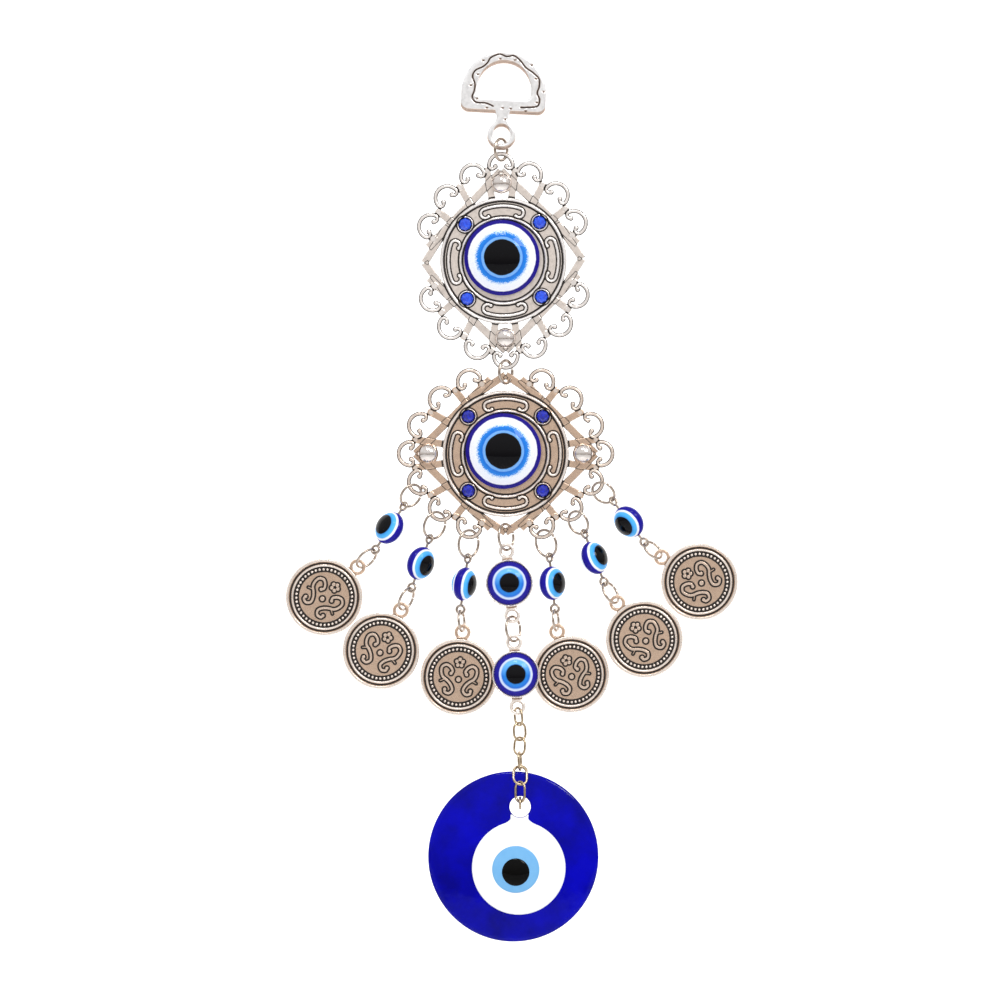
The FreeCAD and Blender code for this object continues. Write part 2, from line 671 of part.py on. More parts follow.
def middle_column(medallion_centre):
    """Ring, two eye connectors and the straight part of the chain, below the lower medallion."""
    roof_edge = size("roof_apex") - 0.6 * size("strap_width")
    hook = medallion_centre + Vector(0, 0, HOOK_IN_ROOF - roof_edge)
    foot = column_ring("column_ring", hook, **COLUMN_RING, alias="column_ring_radius")
    first_sway, second_sway = CONNECTOR_SWAYS
    first_down, second_down = down(first_sway, COLUMN_LEAN), down(second_sway, COLUMN_LEAN)
    low_hole = connector("upper_connector", foot + first_down * TAB_SLACK, first_sway, COLUMN_LEAN)
    ring_hook = low_hole + first_down * TAB_SLACK
    ring_foot = column_ring("connector_ring", ring_hook, **CONNECTOR_RING, alias="connector_ring_radius")
    low_hole = connector("lower_connector", ring_foot + second_down * TAB_SLACK, second_sway, COLUMN_LEAN)
    chain_hook = low_hole + second_down * TAB_SLACK
    pitch = size("chain_straight") + 2 * size("chain_bend")
    hooks = []
    for index, (sway, turn) in enumerate(zip(CHAIN_SWAYS, CHAIN_TURNS), start=1):
        hooks.append(chain_hook)
        oval_link(f"chain_link_{index}", chain_hook + down(sway) * (pitch / 2), facing(sway, 0, turn))
        chain_hook = chain_hook + down(sway) * (pitch - size("chain_wire") - WIRE_GAP)
    contacts["column"] = dict(hook=hook, ring_foot=foot, connector_ring_hook=ring_hook,
                              connector_ring_foot=ring_foot, chain_hooks=hooks, disc_hook=chain_hook)
    return chain_hook


def disc_loop(hook):
    """The chain's closed loop over the disc's top edge: two links before it, two behind, one through.

    Returns the centre of the link that passes through the disc's hole.
    """
    pitch = size("loop_straight") + 2 * size("chain_bend")
    bearing = size("chain_wire") + WIRE_GAP
    bend_centre = hook + Vector(0, 0, size("chain_bend") - bearing)
    feet = []
    for side, name in ((-1, "front"), (1, "back")):
        lean = side * LOOP_FLARE
        top = bend_centre + down(0, lean) * (size("chain_bend") - bearing)
        oval_link(f"{name}_loop_upper_link", top + down(0, lean) * (pitch / 2), facing(0, lean, LOOP_TURNS[0]),
                  straight="loop_straight")
        top = top + down(0, lean) * (pitch - bearing)
        lean = -side * LOOP_RETURN
        oval_link(f"{name}_loop_lower_link", top + down(0, lean) * (pitch / 2), facing(0, lean, LOOP_TURNS[1]),
                  straight="loop_straight")
        feet.append(top + down(0, lean) * pitch)
    middle = (feet[0] + feet[1]) * 0.5 - Vector(0, 0, size("hole_link_bend") - bearing - HOLE_LINK_SLACK)
    along_depth = Rotation(RIGHT, 90) * UPRIGHT * Rotation(FLAT_UP, 90)
    oval_link("disc_hole_link", middle, along_depth, "hole_link_bend", "hole_link_straight")
    return middle


def build():
    tilt = facing(-size("hanger_tilt"))
    hanger()
    eye = tilt.multVec(Vector(0, -size("hanger_eye_drop"), 0))
    hook = eye + Vector(0, 0, HOOK_IN_HANGER - size("hanger_eye_hole"))
    radius = size("jump_ring_radius")
    span = LONG_AXIS_SCROLL + size("border_scroll_radius") - size("border_scroll_width") / 2
    tip = span - HOOK_IN_SCROLL
    ring_sway, upper_sway, middle_sway = -2, 1.5, -1

    centre = hook + down(ring_sway) * radius
    ring("top_ring", centre, facing(ring_sway, 0, 55), "jump_ring_radius", "jump_ring_wire")
    foot = centre + down(ring_sway) * radius
    contacts["top"] = dict(hook=hook, ring_foot=foot)

    upper = foot + down(upper_sway) * tip
    medallion("upper", upper, upper_sway, 90, EYE_SHIFTS["upper"])
    hook = upper + down(upper_sway) * tip
    radius = size("middle_ring_radius")
    centre = hook + down(middle_sway) * radius
    ring("middle_ring", centre, facing(middle_sway, 0, 55), "middle_ring_radius", "jump_ring_wire")
    foot = centre + down(middle_sway) * radius
    contacts["middle"] = dict(hook=hook, ring_foot=foot, upper=upper)

    roof_edge = size("roof_apex") - 0.6 * size("strap_width")
    lower = foot + Vector(0, 0, -(roof_edge - HOOK_IN_ROOF))
    medallion("lower", lower, 0, 0, EYE_SHIFTS["lower"])
    contacts["lower"] = lower
    for name, spec in DROPS.items():
        side_drop(name, lower, spec)
    hole_link = disc_loop(middle_column(lower))
    link_top = size("hole_link_bend") + size("chain_wire") / 2 + WIRE_GAP
    glass_disc(hole_link + Vector(0, 0, link_top - size("disc_hole")), facing())
    contacts["disc_hole_link"] = hole_link


def check_and_export():
    """Stop on any failed feature, then write one STEP file per sub-part."""
    doc.recompute()
    for feature in doc.Objects:
        if "Invalid" in feature.State or "Error" in feature.State:
            raise RuntimeError(f"{feature.Name} failed: {feature.State}")
    os.makedirs("parts", exist_ok=True)
    for piece in nodes:
        if piece.Shape.isNull() or not piece.Shape.isValid():
            raise RuntimeError(f"{piece.Label} has no valid shape")
        piece.Shape.exportStep(os.path.join("parts", f"{piece.Label}.step"))
        print(f"{piece.Label}: {len(piece.Shape.Solids)} solid, {piece.Shape.Volume:.2f} mm3")
    print(f"{len(nodes)} sub-parts")


build()
check_and_export()
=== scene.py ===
"""Looks of the evil eye hanging ornament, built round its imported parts.

Every replaced part is modelled in its own flat frame, in millimetres: X to the right, Y up towards
what it hangs from, Z towards the viewer.  Its place in the world comes from the CAD node's own mesh
and from the joints.  The vector attribute "flat" keeps each vertex's flat-frame position, so that
the painted rings and the patina stay on the piece when it moves.
"""

import json
import math

import bpy
import numpy as np
from mathutils import Matrix, Vector


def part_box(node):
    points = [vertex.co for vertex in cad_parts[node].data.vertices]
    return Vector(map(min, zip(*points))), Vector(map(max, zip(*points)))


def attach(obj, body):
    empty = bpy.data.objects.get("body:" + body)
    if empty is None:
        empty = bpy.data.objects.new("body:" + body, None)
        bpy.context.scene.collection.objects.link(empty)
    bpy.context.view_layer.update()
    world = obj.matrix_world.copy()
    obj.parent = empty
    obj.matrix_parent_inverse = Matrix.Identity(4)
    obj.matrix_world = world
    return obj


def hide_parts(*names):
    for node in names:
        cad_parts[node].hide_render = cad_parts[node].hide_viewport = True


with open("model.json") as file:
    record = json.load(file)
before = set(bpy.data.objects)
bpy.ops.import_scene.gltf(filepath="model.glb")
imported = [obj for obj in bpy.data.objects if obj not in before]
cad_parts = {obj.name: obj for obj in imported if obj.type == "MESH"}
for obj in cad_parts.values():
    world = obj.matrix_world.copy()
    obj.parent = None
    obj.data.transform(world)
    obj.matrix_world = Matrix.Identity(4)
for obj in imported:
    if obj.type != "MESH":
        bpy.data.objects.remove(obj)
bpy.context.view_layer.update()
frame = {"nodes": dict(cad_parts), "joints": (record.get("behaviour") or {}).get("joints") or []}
nodes = frame["nodes"]
joints = {joint["name"]: joint for joint in frame["joints"]}
MM = 0.001
FRONT = Vector((0, -1, 0))
UP = Vector((0, 0, 1))
DROPS = ("left_outer", "left_middle", "left_inner", "right_inner", "right_middle", "right_outer")


# ---------------------------------------------------------------- where the CAD parts are

def node_axes(name):
    """Centre, longest, middle and thinnest direction of a CAD node, weighted by surface area."""
    mesh = nodes[name].data
    mesh.calc_loop_triangles()
    points = np.array([v.co for v in mesh.vertices], float)
    corners = points[np.array([t.vertices for t in mesh.loop_triangles])]
    a, b, c = corners[:, 0], corners[:, 1], corners[:, 2]
    area = np.linalg.norm(np.cross(b - a, c - a), axis=1) / 2
    centre = (area[:, None] * (a + b + c) / 3).sum(0) / area.sum()
    a, b, c = a - centre, b - centre, c - centre
    spread = np.zeros((3, 3))
    for part in (a, b, c, a + b + c):
        spread += np.einsum("n,ni,nj->ij", area, part, part)
    _, axes = np.linalg.eigh(spread)
    return Vector(centre), Vector(axes[:, 2]), Vector(axes[:, 1]), Vector(axes[:, 0])


def flat_frame(centre, up, normal):
    """Matrix from a flat frame (metres) to the world; the normal is turned to face the viewer."""
    normal = normal.normalized()
    if normal.dot(FRONT) < 0:
        normal = -normal
    up = (up - normal * up.dot(normal)).normalized()
    right = up.cross(normal)
    columns = Matrix((right, up, normal)).transposed().to_4x4()
    columns.translation = centre
    return columns


def joint_point(name):
    return Vector(joints[name]["pos_m"])


def joint_axis(name):
    return Vector(joints[name]["axis"])


# ---------------------------------------------------------------- meshes

def put(name, mesh, place, body, slot, material, *replaced):
    """Add a piece, place it, let it ride and hide the CAD nodes it stands for."""
    piece = bpy.data.objects.new(name, mesh)
    bpy.context.scene.collection.objects.link(piece)
    piece.matrix_world = place
    if material is not None and not mesh.materials:
        mesh.materials.append(material)
    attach(piece, body)
    if replaced:
        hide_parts(*replaced)
    return piece


def mesh_from(name, points, faces, patina_and_shade=None, sharp=40.0):
    """A mesh from flat-frame millimetres, with its attributes and creases."""
    points = np.asarray(points, float)
    mesh = bpy.data.meshes.new(name)
    mesh.from_pydata((points * MM).tolist(), [], [list(face) for face in faces])
    mesh.validate()
    mesh.update()
    flat = mesh.attributes.new("flat", "FLOAT_VECTOR", "POINT")
    flat.data.foreach_set("vector", points.astype(np.float32).ravel())
    if patina_and_shade is not None:
        layer = mesh.attributes.new("patina_and_shade", "FLOAT", "POINT")
        layer.data.foreach_set("value", np.asarray(patina_and_shade, np.float32))
    mesh.polygons.foreach_set("use_smooth", [True] * len(mesh.polygons))
    mesh.set_sharp_from_angle(angle=math.radians(sharp))
    return mesh


def turned(name, profile, segments=96, sharp=40.0):
    """Revolve a profile of (radius, height) about the flat frame's Z axis."""
    points, faces = [], []
    rings = []
    for radius, height in profile:
        if radius < 1e-6:
            rings.append([len(points)])
            points.append((0.0, 0.0, height))
            continue
        ring = []
        for step in range(segments):
            angle = 2 * math.pi * step / segments
            ring.append(len(points))
            points.append((radius * math.cos(angle), radius * math.sin(angle), height))
        rings.append(ring)
    for lower, upper in zip(rings, rings[1:]):
        for step in range(segments):
            nearest = (step + 1) % segments
            corners = [lower[step % len(lower)], lower[nearest % len(lower)],
                       upper[nearest % len(upper)], upper[step % len(upper)]]
            face = list(dict.fromkeys(corners))
            if len(face) > 2:
                faces.append(face)
    return mesh_from(name, points, faces, sharp=sharp)


def tube(name, path, radius, sides):
    """A round wire with flat ends along a path in the flat frame's XY plane."""
    path = np.asarray(path, float)
    count = len(path)
    points, faces = [], []
    for index, centre in enumerate(path):
        ahead = path[min(index + 1, count - 1)]
        behind = path[max(index - 1, 0)]
        along = (ahead - behind) / np.linalg.norm(ahead - behind)
        side = np.cross(along, (0, 0, 1))
        side /= np.linalg.norm(side)
        lift = np.cross(side, along)
        for step in range(sides):
            angle = 2 * math.pi * step / sides
            points.append(centre + radius * (math.cos(angle) * side + math.sin(angle) * lift))
    for index in range(count - 1):
        nearest = index + 1
        for step in range(sides):
            after = (step + 1) % sides
            faces.append([index * sides + step, index * sides + after,
                          nearest * sides + after, nearest * sides + step])
    faces.append(list(range(sides))[::-1])
    faces.append([(count - 1) * sides + step for step in range(sides)])
    return mesh_from(name, points, faces, sharp=60)


# Shapes in the plane: each returns the distance to its edge, negative inside.

def disc_at(x, y, cx, cy, radius):
    return np.hypot(x - cx, y - cy) - radius


def hoop(x, y, radius, width, cx=0.0, cy=0.0):
    return np.abs(np.hypot(x - cx, y - cy) - radius) - width / 2


def arc(x, y, cx, cy, radius, width, middle, sweep):
    """A bent stroke with round ends, covering sweep degrees either side of middle."""
    dx, dy = x - cx, y - cy
    turn = (np.degrees(np.arctan2(dy, dx)) - middle + 180) % 360 - 180
    along = np.abs(np.hypot(dx, dy) - radius)
    ends = np.full_like(along, 1e9)
    for side in (-1, 1):
        angle = math.radians(middle + side * sweep)
        ends = np.minimum(ends, np.hypot(dx - radius * math.cos(angle), dy - radius * math.sin(angle)))
    return np.where(np.abs(turn) <= sweep, along, ends) - width / 2


def stroke(x, y, start, end, width):
    """A straight stroke with round ends."""
    ax, ay = start
    bx, by = end[0] - ax, end[1] - ay
    t = np.clip(((x - ax) * bx + (y - ay) * by) / (bx * bx + by * by), 0, 1)
    return np.hypot(x - ax - t * bx, y - ay - t * by) - width / 2


def bar(x, y, start, end, width):
    """A straight bar with square ends."""
    ax, ay = start
    bx, by = end[0] - ax, end[1] - ay
    length = math.hypot(bx, by)
    ux, uy = bx / length, by / length
    along = (x - ax) * ux + (y - ay) * uy
    across = np.abs((y - ay) * ux - (x - ax) * uy)
    return np.maximum(across - width / 2, np.maximum(-along, along - length))


def path_stroke(x, y, points, width):
    """A stroke along a run of points."""
    best = np.full_like(x, 1e9)
    for start, end in zip(points, points[1:]):
        best = np.minimum(best, stroke(x, y, start, end, width))
    return best


def near(shape, cx, cy, reach):
    """The same shape, worked out only within reach of a point."""
    def distance(x, y):
        x, y = np.asarray(x, float), np.asarray(y, float)
        result = np.full(x.shape, 99.0)
        close = (np.abs(x - cx) < reach) & (np.abs(y - cy) < reach)
        result[close] = shape(x[close], y[close])
        return result
    return distance


def hook_points(cx, cy, radius, start, bend, sweep, steps=16):
    """Points of a tight hook bent inwards from the end of an arc."""
    hx = cx + (radius - bend) * math.cos(math.radians(start))
    hy = cy + (radius - bend) * math.sin(math.radians(start))
    return [(hx + bend * math.cos(math.radians(start + sweep * k / steps)),
             hy + bend * math.sin(math.radians(start + sweep * k / steps))) for k in range(steps + 1)]


def smooth_line(points, steps=8):
    """A smooth curve through points (Catmull-Rom)."""
    padded = [points[0]] + list(points) + [points[-1]]
    result = []
    for a, b, c, d in zip(padded, padded[1:], padded[2:], padded[3:]):
        for k in range(steps):
            t = k / steps
            result.append(tuple(
                0.5 * (2 * q + (r - p) * t + (2 * p - 5 * q + 4 * r - w) * t * t
                       + (3 * q - p - 3 * r + w) * t ** 3)
                for p, q, r, w in zip(a, b, c, d)))
    return result + [tuple(points[-1])]


def rounded(distance, width):
    """0 at a stroke's edge to 1 on top, with a round shoulder of this width."""
    t = np.clip(-distance / width, 0, 1)
    return np.sqrt(np.clip(1 - (1 - t) ** 2, 0, 1))


BACK_STAIN = 0.35      # patina of a casting's back and of its edges


def relief(name, extent, step, edge, height, back, patina_and_shade=None, sharp=38.0, back_height=None):
    """A cast piece with a pierced outline and a relief front.

    edge(x, y) is the outline's distance, height(x, y) the front's height and back the flat back's
    (or back_height(x, y) for a relief back).  The outline's vertices are moved onto the edge.
    """
    x0, y0, x1, y1 = extent
    columns = int(round((x1 - x0) / step)) + 1
    rows = int(round((y1 - y0) / step)) + 1
    gx, gy = np.meshgrid(np.linspace(x0, x1, columns), np.linspace(y0, y1, rows))
    d = edge(gx, gy)
    slope_y, slope_x = np.gradient(d, (y1 - y0) / (rows - 1), (x1 - x0) / (columns - 1))
    steep = np.maximum(slope_x ** 2 + slope_y ** 2, 0.3)
    at_edge = np.abs(d) < 0.56 * step
    px = np.where(at_edge, gx - d * slope_x / steep, gx)
    py = np.where(at_edge, gy - d * slope_y / steep, gy)
    valid = at_edge | (d < 0)
    front = height(px, py)
    # per-vertex darkening: patina in the recesses together with the painted shade the given function adds
    stain_and_shade = patina_and_shade(px, py, front, d) if patina_and_shade is not None else np.zeros_like(front)
    behind = back_height(px, py) if back_height is not None else np.full_like(front, back)
    number = np.arange(rows * columns).reshape(rows, columns)
    quads = [number[:-1, :-1], number[:-1, 1:], number[1:, 1:], number[1:, :-1]]
    there = [valid[:-1, :-1], valid[:-1, 1:], valid[1:, 1:], valid[1:, :-1]]
    total = sum(part.astype(int) for part in there)
    full = total == 4
    faces = [list(face) for face in np.stack([q[full] for q in quads], 1)]
    for missing in range(4):
        three = (total == 3) & ~there[missing]
        kept = [quads[k][three] for k in range(4) if k != missing]
        faces += [list(face) for face in np.stack(kept, 1)]
    edges = {}
    for face in faces:
        for start, end in zip(face, face[1:] + face[:1]):
            edges[(start, end)] = True
    rim = [pair for pair in edges if (pair[1], pair[0]) not in edges]
    count = rows * columns
    used = np.zeros(count, bool)
    used[np.unique(np.concatenate([np.array(face) for face in faces]))] = True
    index = -np.ones(count, int)
    index[used] = np.arange(used.sum())
    total_used = int(used.sum())
    flat_x, flat_y = px.ravel()[used], py.ravel()[used]
    top = np.stack([flat_x, flat_y, front.ravel()[used]], 1)
    bottom = np.stack([flat_x, flat_y, behind.ravel()[used]], 1)
    points = np.concatenate([top, bottom])
    stains_and_shade = np.concatenate([stain_and_shade.ravel()[used], BACK_STAIN * np.ones(total_used)])
    solid = [[int(index[v]) for v in face] for face in faces]
    solid += [[int(index[v]) + total_used for v in face[::-1]] for face in faces]
    for start, end in rim:
        a, b = int(index[start]), int(index[end])
        solid.append([b, a, a + total_used, b + total_used])
    return mesh_from(name, points, solid, patina_and_shade=stains_and_shade, sharp=sharp)


def slit_ring(radius, gap, start, steps=72):
    """Points round a circle, leaving a slit of gap degrees at start."""
    span = 360 - gap
    return [(radius * math.cos(math.radians(start + gap / 2 + span * k / steps)),
             radius * math.sin(math.radians(start + gap / 2 + span * k / steps)), 0.0)
            for k in range(steps + 1)]


# ---------------------------------------------------------------- materials

def new_material(name):
    material = bpy.data.materials.new(name)
    material.use_nodes = True
    tree = material.node_tree
    shader = tree.nodes["Principled BSDF"]
    return material, tree, shader


def add_node(tree, kind, **settings):
    made = tree.nodes.new(kind)
    for key, value in settings.items():
        setattr(made, key, value)
    return made


def flat_position(tree):
    return add_node(tree, "ShaderNodeAttribute", attribute_name="flat").outputs["Vector"]


def noise(tree, source, scale, detail=4.0, roughness=0.55):
    made = add_node(tree, "ShaderNodeTexNoise")
    made.inputs["Scale"].default_value = scale
    made.inputs["Detail"].default_value = detail
    made.inputs["Roughness"].default_value = roughness
    tree.links.new(source, made.inputs["Vector"])
    return made.outputs["Fac"]


def ramp(tree, source, stops):
    """A colour ramp; its stops are (place, colour)."""
    made = add_node(tree, "ShaderNodeValToRGB")
    made.color_ramp.interpolation = "LINEAR"
    elements = made.color_ramp.elements
    while len(elements) < len(stops):
        elements.new(0.5)
    for element, (place, colour) in zip(elements, stops):
        element.position = place
        element.color = (*colour, 1.0)
    tree.links.new(source, made.inputs["Fac"])
    return made.outputs["Color"]


def maths(tree, operation, first, second=None, clamp=False):
    made = add_node(tree, "ShaderNodeMath", operation=operation, use_clamp=clamp)
    for slot_index, value in enumerate((first, second)):
        if value is None:
            continue
        if isinstance(value, (int, float)):
            made.inputs[slot_index].default_value = value
        else:
            tree.links.new(value, made.inputs[slot_index])
    return made.outputs[0]


def mixed(tree, share, first, second, blend="MIX"):
    made = add_node(tree, "ShaderNodeMix", data_type="RGBA", blend_type=blend)
    if isinstance(share, (int, float)):
        made.inputs["Factor"].default_value = share
    else:
        tree.links.new(share, made.inputs["Factor"])
    for socket, value in ((made.inputs[6], first), (made.inputs[7], second)):
        if isinstance(value, tuple):
            socket.default_value = (*value, 1.0)
        else:
            tree.links.new(value, socket)
    return made.outputs[2]


def bump(tree, shader, source, strength, distance):
    made = add_node(tree, "ShaderNodeBump")
    made.inputs["Strength"].default_value = strength
    made.inputs["Distance"].default_value = distance
    tree.links.new(source, made.inputs["Height"])
    tree.links.new(made.outputs["Normal"], shader.inputs["Normal"])


PATINA_AND_SHADE_BLACK = (0.012, 0.009, 0.008)          # the black of the patina in the recesses and of the painted shade


def cast_silver(name, bright, shade, rough, use_patina=True, metallic=1.0, stained_and_shaded=PATINA_AND_SHADE_BLACK):
    """Plated casting: soft mottled silver, black patina and painted shade where the attribute says."""
    material, tree, shader = new_material(name)
    shader.inputs["Metallic"].default_value = metallic
    where = flat_position(tree)
    mottled = noise(tree, where, 0.8, 5.0, 0.6)
    fine = noise(tree, where, 5.0, 3.0, 0.6)
    if use_patina:
        stain_and_shade = add_node(tree, "ShaderNodeAttribute", attribute_name="patina_and_shade").outputs["Fac"]
        ragged = maths(tree, "MULTIPLY", maths(tree, "SUBTRACT", fine, 0.5), 0.5)
        level = maths(tree, "ADD", stain_and_shade, maths(tree, "MULTIPLY", ragged, stain_and_shade))
        tone = ramp(tree, level, [(0.0, bright), (0.24, shade), (0.42, shade), (0.60, stained_and_shaded)])
        clouds = ramp(tree, mottled, [(0.4, (0, 0, 0)), (0.75, (1, 1, 1))])
        base = mixed(tree, maths(tree, "MULTIPLY", clouds, 0.22), tone, stained_and_shaded)
        share = ramp(tree, level, [(0.42, (0, 0, 0)), (0.62, (1, 1, 1))])
        rougher = maths(tree, "ADD", maths(tree, "MULTIPLY", share, 0.3),
                        maths(tree, "MULTIPLY", mottled, 0.12))
        rougher = maths(tree, "ADD", rougher, rough - 0.06)
        clean = maths(tree, "SUBTRACT", 1.0, maths(tree, "MULTIPLY", share, 0.7))
        tree.links.new(maths(tree, "MULTIPLY", clean, metallic), shader.inputs["Metallic"])
    else:
        base = mixed(tree, ramp(tree, mottled, [(0.3, (0, 0, 0)), (0.7, (1, 1, 1))]), bright, shade)
        rougher = maths(tree, "ADD", maths(tree, "MULTIPLY", mottled, 0.14), rough - 0.06)
    tree.links.new(base, shader.inputs["Base Color"])
    tree.links.new(rougher, shader.inputs["Roughness"])
    uneven = maths(tree, "ADD", maths(tree, "MULTIPLY", mottled, 0.6), maths(tree, "MULTIPLY", fine, 0.4))
    bump(tree, shader, uneven, 0.12, 0.0002)
    return material


def eye_paint(name, stops, radius, sparkle=None, painted_glow=None, roughness=0.05):
    """Painted rings under clear gloss: a colour ramp over the distance from the pupil's centre."""
    material, tree, shader = new_material(name)
    where = flat_position(tree)
    apart = add_node(tree, "ShaderNodeSeparateXYZ")
    tree.links.new(where, apart.inputs[0])
    level = add_node(tree, "ShaderNodeCombineXYZ")
    tree.links.new(apart.outputs["X"], level.inputs["X"])
    tree.links.new(apart.outputs["Y"], level.inputs["Y"])
    length = add_node(tree, "ShaderNodeVectorMath", operation="LENGTH")
    tree.links.new(level.outputs[0], length.inputs[0])
    wobble = noise(tree, where, 0.5, 3.0)
    share = maths(tree, "DIVIDE", maths(tree, "ADD", length.outputs["Value"], maths(
        tree, "MULTIPLY", maths(tree, "SUBTRACT", wobble, 0.5), 0.03 * radius)), radius)
    if sparkle is not None:
        edge, reach, amount = sparkle
        grains = noise(tree, where, 3.2, 1.0, 0.4)
        closeness = maths(tree, "SUBTRACT", 1.0, maths(tree, "ABSOLUTE", maths(
            tree, "DIVIDE", maths(tree, "SUBTRACT", share, edge), reach)), True)
        share = maths(tree, "ADD", share, maths(tree, "MULTIPLY", closeness, maths(
            tree, "MULTIPLY", maths(tree, "SUBTRACT", grains, 0.5), amount)))
    colour = ramp(tree, share, [(place / radius, tint) for place, tint in stops])
    if sparkle is not None:
        glitter = ramp(tree, noise(tree, where, 7.0, 2.0, 0.8),
                       [(0.42, (0.78, 0.80, 0.84)), (0.56, (1, 1, 1))])
        colour = mixed(tree, 0.75, colour, glitter, "MULTIPLY")
    # painted light: the given band of the iris is made lighter towards the top, a glow of light coming in
    # from above
    if painted_glow is not None:
        tint, amount, low, high = painted_glow
        lift = maths(tree, "MULTIPLY", maths(tree, "ADD", apart.outputs["Y"], 0.5), 1 / 3.5, True)
        band = ramp(tree, share, [(low - 0.04, (0, 0, 0)), (low, (1, 1, 1)), (high, (1, 1, 1)),
                                  (high + 0.04, (0, 0, 0))])
        glowing = maths(tree, "MULTIPLY", maths(tree, "MULTIPLY", lift, band), amount)
        colour = mixed(tree, glowing, colour, tint)
    tree.links.new(colour, shader.inputs["Base Color"])
    shader.inputs["Roughness"].default_value = roughness
    shader.inputs["Specular IOR Level"].default_value = 0.16
    bump(tree, shader, noise(tree, where, 0.3, 2.0), 0.05, 0.0004)
    return material


def gloss(name, colour, deep, roughness=0.06, scale=0.12, amount=0.5, shine=0.4):
    """Fused glass seen as an opaque glossy body with slight streaks in its colour."""
    material, tree, shader = new_material(name)
    where = flat_position(tree)
    cloud = noise(tree, where, scale, 5.0, 0.6)
    streak = ramp(tree, cloud, [(0.35, deep), (0.65, colour)])
    tree.links.new(mixed(tree, amount, colour, streak), shader.inputs["Base Color"])
    shader.inputs["Roughness"].default_value = roughness
    shader.inputs["Specular IOR Level"].default_value = shine
    bump(tree, shader, noise(tree, where, 0.22, 3.0, 0.6), 0.12, 0.0006)
    return material


NAVY = (0.012, 0.006, 0.22)
BLACK = (0.002, 0.002, 0.003)

bright = cast_silver("bright_silver", (0.93, 0.93, 0.94), (0.50, 0.38, 0.31), 0.2, metallic=0.62)
antique = cast_silver("antique_silver", (0.97, 0.90, 0.84), (0.72, 0.53, 0.40), 0.27, metallic=0.72)
# painted light: a lighter copy of the antique silver, for the upper medallion that takes more light
antique_painted_lit = cast_silver("antique_silver_painted_lit", (1.0, 0.97, 0.95), (0.86, 0.78, 0.72), 0.24,
                             metallic=0.66)
polished = cast_silver("polished_stud", (0.90, 0.86, 0.83), (0.80, 0.72, 0.68), 0.10, use_patina=False)
wire = cast_silver("plated_wire", (0.62, 0.54, 0.47), (0.36, 0.29, 0.24), 0.2, use_patina=False)
chain_wire = cast_silver("chain_wire", (0.66, 0.54, 0.38), (0.36, 0.27, 0.17), 0.2, use_patina=False)
large_eye = eye_paint(
    "resin_eye_large",
    [(0.0, BLACK), (5.2, BLACK), (5.4, (0.16, 0.38, 0.78)), (5.95, (0.17, 0.40, 0.80)),
     (6.2, (0.015, 0.15, 0.60)), (7.3, (0.02, 0.22, 0.72)), (7.6, (0.40, 0.58, 0.84)),
     (8.1, (0.80, 0.84, 0.92)), (9.9, (0.84, 0.85, 0.92)), (10.05, NAVY), (11.2, NAVY)],
    11.2, sparkle=(0.68, 0.10, 0.22))
# its iris band carries a painted glow, lighter towards the top
link_eye = eye_paint(
    "resin_eye_small",
    [(0.0, BLACK), (2.75, BLACK), (2.95, (0.02, 0.16, 0.50)), (3.3, (0.02, 0.20, 0.66)),
     (4.1, (0.02, 0.14, 0.60)), (4.3, (0.30, 0.48, 0.80)), (4.6, (0.62, 0.70, 0.88)),
     (4.85, (0.55, 0.62, 0.84)), (5.05, (0.012, 0.01, 0.30)), (6.3, NAVY)],
    6.3, painted_glow=((0.16, 0.50, 0.90), 0.8, 0.50, 0.66))
bead_paint = eye_paint(
    "eye_bead",
    [(0.0, BLACK), (3.0, BLACK), (3.15, (0.04, 0.26, 0.66)), (3.5, (0.06, 0.38, 0.82)),
     (4.1, (0.10, 0.44, 0.86)), (4.22, (0.80, 0.84, 0.92)), (4.5, (0.85, 0.87, 0.93)),
     (4.62, (0.012, 0.008, 0.32)), (5.0, (0.008, 0.005, 0.24))],
    5.0)
sapphire = gloss("sapphire", (0.006, 0.02, 0.50), (0.002, 0.003, 0.10), 0.04, 1.6, 0.9, 0.8)
# painted light: a lighter copy of the sapphire, for the upper medallion's stones
sapphire_painted_lit = gloss("sapphire_painted_lit", (0.01, 0.09, 0.80), (0.004, 0.02, 0.40), 0.04, 1.6, 0.9, 0.9)
cobalt = gloss("cobalt_glass", (0.0, 0.0, 0.40), (0.0, 0.0, 0.17), 0.05, 0.07, 0.9, 0.16)
white_glass = gloss("white_glass", (0.92, 0.93, 0.95), (0.84, 0.87, 0.94), 0.08, 0.12, 0.35, 0.3)
blue_glass = gloss("light_blue_glass", (0.17, 0.42, 0.72), (0.13, 0.37, 0.68), 0.08, 0.3, 0.5, 0.25)
black_glass = gloss("black_glass", (0.002, 0.002, 0.002), (0.001, 0.001, 0.001), 0.05, 0.3, 0.5, 0.1)


# ---------------------------------------------------------------- the medallion casting

